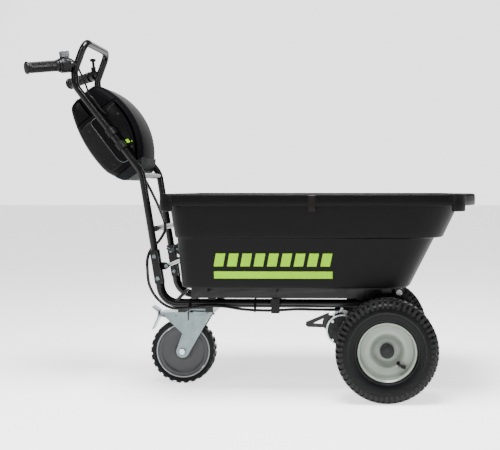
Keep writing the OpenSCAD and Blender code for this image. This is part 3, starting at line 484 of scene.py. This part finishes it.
def make_rim(side, prefix):
    centre = AXLE + Vector((0, side * HALF_TRACK, 0))
    face = [(0.0101, 0.024), (0.0170, 0.024), (0.0178, 0.0225), (0.0182, 0.010), (0.0210, 0.0055), (0.0280, 0.0045),
            (0.0350, 0.0052), (0.0410, 0.0085), (0.0470, 0.0145), (0.0520, 0.0190), (0.0560, 0.0208),
            (0.0640, 0.0212), (0.0720, 0.0214), (0.0765, 0.0228), (0.0785, 0.0262), (0.0792, 0.0310),
            (0.0800, 0.0360), (0.0812, 0.0388), (0.0830, 0.0402), (0.0846, 0.0412), (0.0858, 0.0428),
            (0.0866, 0.0422), (0.0864, 0.0400), (0.0848, 0.0380), (0.0832, 0.0366), (0.0820, 0.0345),
            (0.0815, 0.0300), (0.0815, -0.0300), (0.0820, -0.0345), (0.0835, -0.0366), (0.0870, -0.0380),
            (0.0890, -0.0400), (0.0892, -0.0422), (0.0884, -0.0428), (0.0850, -0.0402), (0.0800, -0.0360),
            (0.0790, -0.0300), (0.0785, 0.0120), (0.0760, 0.0180), (0.0560, 0.0180), (0.0470, 0.0110),
            (0.0400, 0.0050), (0.0330, 0.0020), (0.0180, 0.0010), (0.0172, -0.028), (0.0101, -0.028)]
    rim = lathe(prefix + "_rim_face", face, centre, side, 128)
    finish_piece(rim, "drive_axle", rim_mat, "rim_paint", prefix + "_rim")
    cap = [(0.0005, 0.0285), (0.0060, 0.0290), (0.0105, 0.0288), (0.0112, 0.0278), (0.0150, 0.0276),
           (0.0158, 0.0286), (0.0185, 0.0280), (0.0204, 0.0262), (0.0211, 0.0235), (0.0211, 0.0070),
           (0.0202, 0.0052), (0.0186, 0.0052), (0.0186, 0.0245), (0.0005, 0.0245)]
    hub = lathe(prefix + "_cap_turned", cap, centre, side, 96)
    finish_piece(hub, "drive_axle", hub_mat, "cap_black", prefix + "_hub_cap")


def tube_along(name, points, radius, sides=16, radius_at=None):
    """A round tube through points, with an optional radius for each ring."""
    rings = []
    for i, p in enumerate(points):
        t = (points[min(i + 1, len(points) - 1)] - points[max(i - 1, 0)]).normalized()
        a = Vector((0.35, 1, 0.2)).cross(t).normalized()
        b = t.cross(a)
        r = radius_at(i) if radius_at else radius
        rings.append([p + r * (math.cos(2 * math.pi * k / sides) * a + math.sin(2 * math.pi * k / sides) * b)
                      for k in range(sides)])
    return loft(name, rings, sharp=50)


def smooth_route(points, steps):
    """The same smooth curve that the CAD sweeps its cables along."""
    p = [Vector(q) * MM for q in points]
    out = []
    for i in range(len(p) - 1):
        a, b, c, d = p[max(i - 1, 0)], p[i], p[i + 1], p[min(i + 2, len(p) - 1)]
        for j in range(steps):
            t = j / steps
            out.append((2 * b + (c - a) * t + (2 * a - 5 * b + 4 * c - d) * t * t
                        + (3 * b - a - 3 * c + d) * t ** 3) / 2)
    return out + [p[-1]]


def make_valve(side, prefix):
    centre = AXLE + Vector((0, side * HALF_TRACK, 0))
    out = Vector((0, side, 0))
    radial = Vector((math.cos(math.radians(-47)), 0, math.sin(math.radians(-47))))
    tangent = out.cross(radial)
    base = centre + radial * 0.048 + out * 0.014
    route = [base, base + out * 0.006, base + out * 0.012 + radial * 0.002,
             base + out * 0.016 + radial * 0.007 + tangent * 0.002,
             base + out * 0.018 + radial * 0.014 + tangent * 0.004,
             base + out * 0.019 + radial * 0.021 + tangent * 0.009]
    points = smooth_route([q / MM for q in route], 6)
    total = len(points) - 1

    def stem(i):
        k = i / total
        return 0.0056 if k < 0.18 else (0.0046 if k < 0.72 else 0.0054)

    valve = tube_along(prefix + "_valve_stem", points, 0.0036, 20, stem)
    finish_piece(valve, "drive_axle", sheath, "cable_sheath", prefix + "_valve")


for wheel_side, wheel_prefix in ((-1, "right"), (1, "left")):
    make_tyre(wheel_side, wheel_prefix + "_tyre")
    make_rim(wheel_side, wheel_prefix)
    make_valve(wheel_side, wheel_prefix)


# ---- Caster ----

def make_caster():
    tyre = lathe("caster_tyre_body", [(0.0862, -0.0200), (0.0900, -0.0222), (0.0960, -0.0225), (0.0990, -0.0215),
                 (0.1003, -0.0170), (0.1007, 0.0), (0.1003, 0.0170), (0.0990, 0.0215), (0.0960, 0.0225),
                 (0.0900, 0.0222), (0.0862, 0.0200)], CASTER, 1, 144)
    finish_piece(tyre, "caster_wheel", tyre_mat, "tyre_rubber", "caster_tyre")
    bm = bmesh.new()
    count = 26
    pitch = 2 * math.pi / count
    for i in range(count):
        a = i * pitch
        for edge in (-1, 1):
            shift = 0 if edge > 0 else pitch / 2
            patch = [(a + shift, edge * 0.0015), (a + shift + pitch * 0.62, edge * 0.0035),
                     (a + shift + pitch * 0.72, edge * 0.0218), (a + shift + pitch * 0.10, edge * 0.0218)]
            tread_block(bm, patch, 0.0960, 0.1040, CASTER, 1)
    bmesh.ops.recalc_face_normals(bm, faces=bm.faces)
    mesh = bpy.data.meshes.new("caster_tread")
    bm.to_mesh(mesh)
    bm.free()
    tread = bpy.data.objects.new("caster_tread", mesh)
    bpy.context.scene.collection.objects.link(tread)
    finish_piece(tread, "caster_wheel", tyre_mat, "tyre_rubber")
    ring = lathe("caster_rim_ring", [(0.0822, -0.0190), (0.0826, -0.0205), (0.0834, -0.0210), (0.0850, -0.0210),
                 (0.0860, -0.0198), (0.0860, 0.0198), (0.0850, 0.0210), (0.0834, 0.0210), (0.0826, 0.0205),
                 (0.0822, 0.0190)], CASTER, 1, 144)
    finish_piece(ring, "caster_wheel", ring_mat, "caster_ring", "caster_rim")
    half = [(0.0062, 0.0258), (0.0155, 0.0258), (0.0163, 0.0250), (0.0168, 0.0190), (0.0200, 0.0165),
            (0.0240, 0.0160), (0.0255, 0.0172), (0.0285, 0.0172), (0.0300, 0.0158), (0.0620, 0.0150),
            (0.0660, 0.0152), (0.0690, 0.0168), (0.0705, 0.0180), (0.0790, 0.0184), (0.0806, 0.0180),
            (0.0812, 0.0160)]
    # A dark patch on each fork side is painted shade standing for the slot between crown and wing.
    details = [("fork_slot_shade", soft_black, "soft_plastic", 2, -0.2222, 0.2190, 0.0016, 0.0150)]
    details += [(f"fork_rivet_{k}", zinc, "zinc", 32, x, 0.2165, 0.0036, 0.0036)
                for k, x in enumerate((-0.300, -0.262, -0.150))]
    for name, mat, slot, corners, x, z, rx, rz in details:
        ring = ([(rx, rz), (-rx, rz), (-rx, -rz), (rx, -rz)] if corners == 2 else
                [(rx * math.cos(2 * math.pi * k / corners), rz * math.sin(2 * math.pi * k / corners))
                 for k in range(corners)])
        for side in (-1, 1):
            layers = [[Vector((x + a * f, side * y, z + b * f)) for a, b in ring]
                      for y, f in ((0.0316, 1.0), (0.0324, 1.0), (0.0330, 0.85), (0.0332, 0.5))]
            piece = loft(f"{name}_{'r' if side < 0 else 'l'}", layers, sharp=30)
            finish_piece(piece, "caster_swivel", mat, slot)
    core = lathe("caster_core_disc", half + [(r, -w) for r, w in reversed(half)], CASTER, 1, 128)
    finish_piece(core, "caster_wheel", core_mat, "caster_plastic", "caster_core")


make_caster()


# ---- Battery housing ----

FRONT_ARC, BACK_ARC = (-0.147, 0.120, 0.229), (0.302, 0.060, 0.400)
SEAM_DEPTH, LID_S, LID_T, CAP_S = 0.015, 0.168, -0.025, -0.032
HOUSING_HALF = 0.106
EDGE_POINTS = [(-0.064, -0.061), (0.022, -0.061), (0.060, -0.025), (0.140, 0.060), (0.140, 0.180), (0.066, 0.243),
               (0.004, 0.245), (-0.060, 0.232), (-0.130, 0.170), (-0.130, 0.071)]
HOUSING_MIDDLE = Vector((0.0, 0.090))


def lean(t, s, y):
    """A point t in front of the handle tubes' line and s up along it."""
    return LEAN_ORIGIN + Vector((math.cos(LEAN) * t - math.sin(LEAN) * s, y, math.sin(LEAN) * t + math.cos(LEAN) * s))


def ray_to_circle(p, d, circle):
    q = p - Vector(circle[:2])
    b = q.dot(d)
    return -b + math.sqrt(b * b - q.length_squared + circle[2] ** 2)


def housing_outline(steps=220):
    """The side outline seen from its middle, with its corners rounded off."""
    reach = []
    for i in range(steps):
        a = 2 * math.pi * i / steps
        d = Vector((math.cos(a), math.sin(a)))
        r = min(ray_to_circle(HOUSING_MIDDLE, d, FRONT_ARC), ray_to_circle(HOUSING_MIDDLE, d, BACK_ARC))
        for p, q in zip(EDGE_POINTS, EDGE_POINTS[1:] + EDGE_POINTS[:1]):
            edge = Vector(q) - Vector(p)
            normal = Vector((edge.y, -edge.x)).normalized()
            along = normal.dot(d)
            if along > 1e-6:
                r = min(r, normal.dot(Vector(p) - HOUSING_MIDDLE) / along)
        reach.append(r)
    for _ in range(10):
        reach = [(reach[i - 1] + 2 * reach[i] + reach[(i + 1) % steps]) / 4 for i in range(steps)]
    return [HOUSING_MIDDLE + reach[i] * Vector((math.cos(2 * math.pi * i / steps), math.sin(2 * math.pi * i / steps)))
            for i in range(steps)]


def clip(points, inside):
    """Cuts a closed outline by a rule that is positive inside; cut points carry weight 0."""
    out = []
    for i in range(len(points)):
        (p, wp), (q, wq) = points[i], points[(i + 1) % len(points)]
        a, b = inside(p), inside(q)
        if a >= 0:
            out.append((p, wp))
        if (a >= 0) != (b >= 0):
            k = a / (a - b)
            out.append((p.lerp(q, k), 0.0))
    return out


def with_seam(points, gap, keep_inside):
    """Cuts an outline, already cut at the lid and cap seams, along the front seam's arc."""
    centre, radius = Vector(FRONT_ARC[:2]), FRONT_ARC[2] - SEAM_DEPTH + gap
    sign = 1 if keep_inside else -1
    fine = []
    for i in range(len(points)):
        (p, wp), (q, wq) = points[i], points[(i + 1) % len(points)]
        n = max(1, round((q - p).length / 0.003)) if wp == 0.0 and wq == 0.0 else 1
        fine += [(p, wp)] + [(p.lerp(q, k / n), 0.0) for k in range(1, n)]
    cut = clip(fine, lambda p: sign * (radius - (p - centre).length))
    out = []
    for i in range(len(cut)):
        (p, wp), (q, wq) = cut[i], cut[(i + 1) % len(cut)]
        out.append((p, wp))
        if (q - p).length > 0.02:
            n = round((q - p).length / 0.004)
            out += [(centre + (p.lerp(q, k / n) - centre).normalized() * radius, 0.0) for k in range(1, n)]
    return out


def pillow(name, points, half, r, seam_r, material, slot, *nodes, body="chassis", hold=None):
    """A solid with this side outline whose long outer edges are rounded by r and seams by seam_r.

    hold keeps a point on the piece's own side of its seams, a given margin away.
    """
    n = len(points)
    place = [p for p, w in points]
    area = sum(p.x * q.y - q.x * p.y for p, q in zip(place, place[1:] + place[:1]))
    turn_sign = 1 if area > 0 else -1
    on_seam = [w == 0.0 for p, w in points]
    inward = []
    for i in range(n):
        direction = (place[i] - place[i - 1]).normalized() + (place[(i + 1) % n] - place[i]).normalized()
        inward.append(Vector((-direction.y, direction.x)).normalized() * turn_sign)
    corner = [on_seam[i] and not (on_seam[i - 1] and on_seam[(i + 1) % n]) for i in range(n)]
    for i in range(n):
        if corner[i]:
            inward[i] = inward[(i + 1) % n] if on_seam[i - 1] else inward[i - 1]
    runs = []
    for i in range(n):
        if corner[i] and on_seam[(i + 1) % n]:
            run = [i]
            while not (len(run) > 1 and corner[run[-1]]):
                run.append((run[-1] + 1) % n)
            runs.append(run)
    rings = []
    steps = 8
    levels = [(-half + r * (1 - math.cos(math.pi / 2 * k / steps)), 1 - math.sin(math.pi / 2 * k / steps))
              for k in range(steps + 1)]
    levels += [(-y, f) for y, f in reversed(levels)]
    for y, f in levels:
        ring = [p if on_seam[i] and not corner[i] else hold(p + inward[i] * f * r, 0.0)
                for i, p in enumerate(place)]
        for run in runs:
            along = [0.0]
            for i, j in zip(run, run[1:]):
                along.append(along[-1] + (place[j] - place[i]).length)
            start = (ring[run[0]] - place[run[0]]).length
            length = along[-1] - start - (ring[run[-1]] - place[run[-1]]).length
            moved = []
            for k in range(1, len(run) - 1):
                want = start + length * along[k] / along[-1]
                m = max(j for j in range(len(run) - 1) if along[j] <= want)
                moved.append(place[run[m]].lerp(place[run[m + 1]], (want - along[m]) / (along[m + 1] - along[m])))
            for k, q in enumerate(moved):
                ring[run[k + 1]] = q
        rings.append([lean(q.x, q.y, y) for q in (hold(q, f * seam_r) for q in ring)])
    obj = loft(name, rings, sharp=32)
    return finish_piece(obj, body, material, slot, *nodes)


def below(limit):
    return lambda q, m: Vector((q.x, min(q.y, limit - m)))


def above(limit):
    return lambda q, m: Vector((q.x, max(q.y, limit + m)))


def arc_side(radius, keep_inside):
    """Keeps a point inside or outside the front seam's arc."""
    centre = Vector(FRONT_ARC[:2])

    def hold(q, m):
        gap = q - centre
        if keep_inside and gap.length > radius - m:
            return centre + gap.normalized() * (radius - m)
        if not keep_inside and gap.length < radius + m:
            return centre + gap.normalized() * (radius + m)
        return q
    return hold


def held_by(*rules):
    def hold(q, m):
        for rule in rules:
            q = rule(q, m)
        return q
    return hold


def make_housing():
    whole = [(p, 1.0) for p in housing_outline()]
    lid_low, cap_high = LID_S - 0.0007, CAP_S + 0.0003
    middle = clip(clip(whole, lambda p: lid_low - p.y), lambda p: p.y - cap_high)
    seam = FRONT_ARC[2] - SEAM_DEPTH
    pillow("shell_rear", with_seam(middle, -0.0005, True), HOUSING_HALF, 0.016, 0.0012, gloss, "housing_plastic",
           "housing_shell", hold=held_by(arc_side(seam - 0.0005, True), below(lid_low), above(cap_high)))
    pillow("cover_front", with_seam(middle, 0.0005, False), HOUSING_HALF, 0.030, 0.0012, cover_mat,
           "housing_plastic", "housing_cover",
           hold=held_by(arc_side(seam + 0.0005, False), below(lid_low), above(cap_high)))
    top = clip(whole, lambda p: p.y - LID_S)
    pillow("shell_back_top", clip(top, lambda p: LID_T - 0.0006 - p.x), HOUSING_HALF, 0.016, 0.0012, gloss,
           "housing_plastic", hold=held_by(above(LID_S), lambda q, m: Vector((min(q.x, LID_T - 0.0006 - m), q.y))))
    pillow("lid_top", clip(top, lambda p: p.x - LID_T), HOUSING_HALF, 0.028, 0.0012, cover_mat, "housing_plastic",
           "battery_lid", body="lid", hold=held_by(above(LID_S), lambda q, m: Vector((max(q.x, LID_T + m), q.y))))
    pillow("cap_bottom", clip(whole, lambda p: CAP_S - p.y), HOUSING_HALF, 0.007, 0.0012, cap_mat, "cap_plastic",
           "housing_cap", hold=below(CAP_S))


def side_patch(name, outline, y_low, y_high, r, crown, material, slot, *nodes):
    """A raised panel on both sides of the housing, with eased edges."""
    for sign, tag in ((-1, "r"), (1, "l")):
        middle = sum((Vector(p) for p in outline), Vector((0, 0))) / len(outline)
        rings = []
        for lift, shrink in ((0.0, 0.0), (0.6, 0.0), (0.9, 0.5), (1.0, 1.3)):
            ring = []
            for i, p in enumerate(outline):
                q = Vector(p)
                q += (middle - q).normalized() * r * shrink
                ring.append(lean(q.x, q.y, sign * (y_low + (y_high - y_low) * lift)))
            rings.append(ring)
        for k in range(1, 12):
            reach = 1 - k / 12
            height = y_high + crown * (1 - reach * reach)
            near = [middle + (Vector(p) - middle) * reach * 0.94 for p in outline]
            rings.append([lean(q.x, q.y, sign * height) for q in near])
        obj = loft(f"{name}_{tag}", rings, sharp=30)
        finish_piece(obj, "chassis", material, slot, *(nodes if sign < 0 else ()))


def arc_points(circle, inset, low_s, high_s, steps, sign=1):
    """Points at a given depth inside one of the housing's arcs."""
    out = []
    for i in range(steps + 1):
        s = low_s + (high_s - low_s) * i / steps
        t = circle[0] + sign * math.sqrt((circle[2] - inset) ** 2 - (s - circle[1]) ** 2)
        out.append((t, s))
    return out


def make_side_details():
    front = arc_points(FRONT_ARC, 0.020, -0.014, 0.156, 20)
    panel = front + [(0.014, 0.158), (0.014, -0.018)]
    side_patch("panel_front", panel, 0.1058, 0.1074, 0.002, 0.0030, gloss, "housing_plastic", "side_panels")
    back = arc_points(BACK_ARC, 0.012, -0.012, 0.150, 20, -1)
    trim_outer = [(-0.036, 0.156), (-0.036, -0.014)]
    bezel = back + trim_outer
    side_patch("panel_rear", bezel, 0.1058, 0.1066, 0.002, 0.0002, vent_mat, "cap_plastic")
    bm = bmesh.new()
    for sign in (-1, 1):
        low, high = sign * 0.1066, sign * 0.1078
        for i in range(34):
            s = -0.008 + i * 0.0047
            t_back = BACK_ARC[0] - math.sqrt((BACK_ARC[2] - 0.016) ** 2 - (s - BACK_ARC[1]) ** 2)
            bar_box(bm, t_back, -0.040, s, s + 0.0014, low, high)
        for i in range(10):
            t = -0.0825 + i * 0.0047
            bar_box(bm, t, t + 0.0012, 0.004 if t < -0.07 else -0.008, 0.135 if t < -0.07 else 0.149, low, high)
    bmesh.ops.recalc_face_normals(bm, faces=bm.faces)
    mesh = bpy.data.meshes.new("vent_grid")
    bm.to_mesh(mesh)
    bm.free()
    grid = bpy.data.objects.new("vent_grid", mesh)
    bpy.context.scene.collection.objects.link(grid)
    finish_piece(grid, "chassis", soft_black, "soft_plastic")
    for sign, tag in ((-1, "r"), (1, "l")):
        route = [(-0.010, 0.152), (-0.028, 0.153), (-0.037, 0.145), (-0.0385, 0.120), (-0.0385, 0.070),
                 (-0.0385, 0.020), (-0.036, 0.000), (-0.028, -0.011), (-0.010, -0.015)]
        trim = tube_along(f"vent_trim_{tag}", smooth_route([lean(t, q, sign * 0.1072) / MM for t, q in route], 6),
                          0.0011, 10)
        # The trim takes the lighter grey pod plastic as a painted highlight along the vent's raised rim.
        finish_piece(trim, "chassis", pod_mat, "pod_plastic")
        badge = loft(f"side_badge_{tag}", [[lean(t, s, sign * y) for t, s in
                     ((0.017, 0.030), (0.033, 0.024), (0.035, 0.036), (0.019, 0.042))]
                     for y in (0.1078, 0.1092)], sharp=30)
        finish_piece(badge, "chassis", lime, "lime")
        # Dark patches on the cap's sides are painted shade standing for its two slots.
        for k, (t, s) in enumerate(((-0.071, -0.0395), (-0.059, -0.0500))):
            rings = [[lean(t + dt, s + ds, sign * y) for dt, ds in ((0, 0), (0.009, 0), (0.009, 0.003), (0, 0.003))]
                     for y in (0.1050, 0.1063)]
            slot_shade_piece = loft(f"cap_slot_shade_{k}_{tag}", rings, sharp=30)
            finish_piece(slot_shade_piece, "chassis", soft_black, "soft_plastic")


def bar_box(bm, t0, t1, s0, s1, y0, y1):
    """One straight vent bar."""
    low = [bm.verts.new(lean(t, s, y0)) for t, s in ((t0, s0), (t1, s0), (t1, s1), (t0, s1))]
    high = [bm.verts.new(lean(t, s, y1)) for t, s in ((t0 + 0.0002, s0 + 0.0003), (t1 - 0.0002, s0 + 0.0003),
                                                     (t1 - 0.0002, s1 - 0.0003), (t0 + 0.0002, s1 - 0.0003))]
    for k in range(4):
        bm.faces.new((low[k], low[(k + 1) % 4], high[(k + 1) % 4], high[k]))
    bm.faces.new(high)
    bm.faces.new(list(reversed(low)))


make_housing()
make_side_details()


# ---- Grips and cables ----

BAR_ROOT, BAR_END = Vector((-0.555, 0.125, 1.015)), Vector((-0.684, 0.212, 0.992))


def bar_frame(side):
    root = Vector((BAR_ROOT.x, side * BAR_ROOT.y, BAR_ROOT.z))
    end = Vector((BAR_END.x, side * BAR_END.y, BAR_END.z))
    z = (end - root).normalized()
    up = Vector((0, 0, 1))
    y = (up - up.dot(z) * z).normalized()
    return root, y.cross(z), y, z, (end - root).length


def turned_on_bar(name, side, profile, steps=64, flutes=0, depth=0.0, flute_range=(0, 0), sharp=35):
    """Turns (distance, radius) points about a grip bar, with optional lengthwise flutes."""
    root, x, y, z, _ = bar_frame(side)
    rings = []
    for dist, r in profile:
        ring = []
        for k in range(steps):
            a = 2 * math.pi * k / steps
            rr = r
            if flutes and flute_range[0] < dist < flute_range[1]:
                rr -= depth * (0.5 + 0.5 * math.cos(flutes * a))
            ring.append(root + z * dist + rr * (math.cos(a) * x + math.sin(a) * y))
        rings.append(ring)
    return loft(name, rings, sharp=sharp)


def make_grip(side, name, start, bore, body, *nodes):
    length = bar_frame(side)[4]
    stop = length - 0.0045
    profile = [(start, bore), (start, 0.0165), (start + 0.001, 0.0178), (start + 0.004, 0.0182),
               (start + 0.007, 0.0178)]
    d = start + 0.009
    while d < stop - 0.012:
        profile += [(d, 0.0164), (d + 0.0008, 0.0173), (d + 0.0030, 0.0175), (d + 0.0038, 0.0164)]
        d += 0.0052
    profile += [(stop - 0.006, 0.0165), (stop - 0.004, 0.0190), (stop - 0.001, 0.0195), (stop + 0.0015, 0.0192),
                (stop + 0.0040, 0.0165), (stop + 0.0044, 0.0080), (stop + 0.0044, 0.0005)]
    grip = turned_on_bar(name, side, profile, 72, 30, 0.0009, (start + 0.009, stop - 0.010))
    finish_piece(grip, body, grip_mat, "grip_rubber", *nodes)


def make_cables():
    throttle = smooth_route([(-578, -168, 1026), (-562, -162, 1026), (-546, -152, 1010), (-537, -143, 988),
                             (-527, -139, 964), (-519, -137, 942), (-511, -135, 918), (-499, -134, 906),
                             (-483, -131, 883), (-471, -124, 868), (-463, -114, 860), (-460, -104, 857)], 10)
    cable = tube_along("throttle_cable_sheath", throttle, 0.0030, 14)
    finish_piece(cable, "chassis", sheath, "cable_sheath", "throttle_cable")
    harness = smooth_route([(-372, -11, 690), (-367, -13, 660), (-343, -19, 616), (-313, -36, 560), (-288, -70, 505),
                            (-300, -96, 466), (-324, -103, 440), (-332, -122, 412), (-329, -140, 380),
                            (-321, -147, 330), (-295, -148, 287), (-254, -147, 260), (-197, -146, 260),
                            (-138, -145, 266), (-82, -145, 263), (-27, -145, 255), (50, -145, 252),
                            (130, -145, 256), (188, -141, 255), (226, -128, 253), (252, -112, 251), (262, -96, 250.5),
                            (263, -76, 250)], 44)
    conduit = tube_along("harness_conduit", harness, 0.0045, 14,
                         lambda i: 0.0044 + 0.0005 * math.cos(math.pi * i / 1.5))
    finish_piece(conduit, "chassis", sheath, "cable_sheath", "wiring_harness")


make_grip(-1, "grip_right", 0.0552, 0.01302, "twist_grip", "right_grip")
make_grip(1, "grip_left", 0.044, 0.01102, "chassis", "left_grip")
make_cables()


# ---- Stage: floor, light and camera ----

FRONT_DIM, BACK_BRIGHT, FLOOR_GLOW = 0.3, 2.5, 1.45


def make_floor():
    bpy.ops.mesh.primitive_plane_add(size=60, location=(0, 0, 0))
    floor = bpy.context.object
    floor.name = "floor"
    mat = bpy.data.materials.new("floor_white")
    mat.use_nodes = True
    bsdf = mat.node_tree.nodes["Principled BSDF"]
    bsdf.inputs["Base Color"].default_value = (0.92, 0.92, 0.92, 1)
    bsdf.inputs["Roughness"].default_value = 0.7
    bsdf.inputs["Emission Color"].default_value = (1, 1, 1, 1)
    bsdf.inputs["Emission Strength"].default_value = FLOOR_GLOW
    floor.data.materials.append(mat)


def area_light(name, location, target, size, power, size_y=None):
    data = bpy.data.lights.new(name, "AREA")
    data.energy = power
    data.shape = "RECTANGLE"
    data.size = size
    data.size_y = size_y or size
    lamp = bpy.data.objects.new(name, data)
    bpy.context.scene.collection.objects.link(lamp)
    lamp.location = location
    lamp.rotation_euler = (Vector(target) - Vector(location)).to_track_quat("-Z", "Y").to_euler()


def fade(tree, source, low, high, at_low, at_high, kind="SMOOTHSTEP"):
    """A value that goes from at_low to at_high as source goes from low to high."""
    node = tree.nodes.new("ShaderNodeMapRange")
    node.interpolation_type = kind
    node.inputs["From Min"].default_value = low
    node.inputs["From Max"].default_value = high
    node.inputs["To Min"].default_value = at_low
    node.inputs["To Max"].default_value = at_high
    tree.links.new(source, node.inputs["Value"])
    return node.outputs["Result"]


def make_light():
    world = bpy.data.worlds.new("studio")
    bpy.context.scene.world = world
    world.use_nodes = True
    background = world.node_tree.nodes["Background"]
    background.inputs["Color"].default_value = (1, 1, 1, 1)
    tree = world.node_tree
    link = tree.links.new
    coords = tree.nodes.new("ShaderNodeTexCoord")
    axes = tree.nodes.new("ShaderNodeSeparateXYZ")
    link(coords.outputs["Generated"], axes.inputs["Vector"])
    # Bright only where the main view looks past the object, so that dark sides don't mirror it
    behind = fade(tree, axes.outputs["Y"], 0.84, 0.93, 0.0, 1.0)
    not_right = fade(tree, axes.outputs["X"], 0.21, 0.27, 1.0, 0.0)
    both = tree.nodes.new("ShaderNodeMath")
    both.operation = "MULTIPLY"
    link(behind, both.inputs[0])
    link(not_right, both.inputs[1])
    link(fade(tree, both.outputs[0], 0.0, 1.0, FRONT_DIM, BACK_BRIGHT, "LINEAR"), background.inputs["Strength"])
    area_light("top_soft", (0.1, -0.7, 2.8), (0.1, 0, 0.5), 1.2, 230)
    area_light("key_left", (-1.5, -2.6, 2.2), (-0.1, 0, 0.5), 0.6, 55, 1.6)
    area_light("key_right", (2.6, -2.2, 1.8), (0.3, 0, 0.4), 0.5, 40, 1.6)


def make_camera():
    data = bpy.data.cameras.new("camera")
    data.lens = 65.442
    data.sensor_width = 36
    data.shift_x = -0.17
    data.shift_y = -0.07
    data.clip_end = 100
    cam = bpy.data.objects.new("camera", data)
    bpy.context.scene.collection.objects.link(cam)
    cam.location = (0.32526, -2.93672, 0.63005)
    cam.rotation_euler = (math.radians(90) - 0.0025, 0, 0.02618)
    bpy.context.scene.camera = cam


make_floor()
make_light()
make_camera()
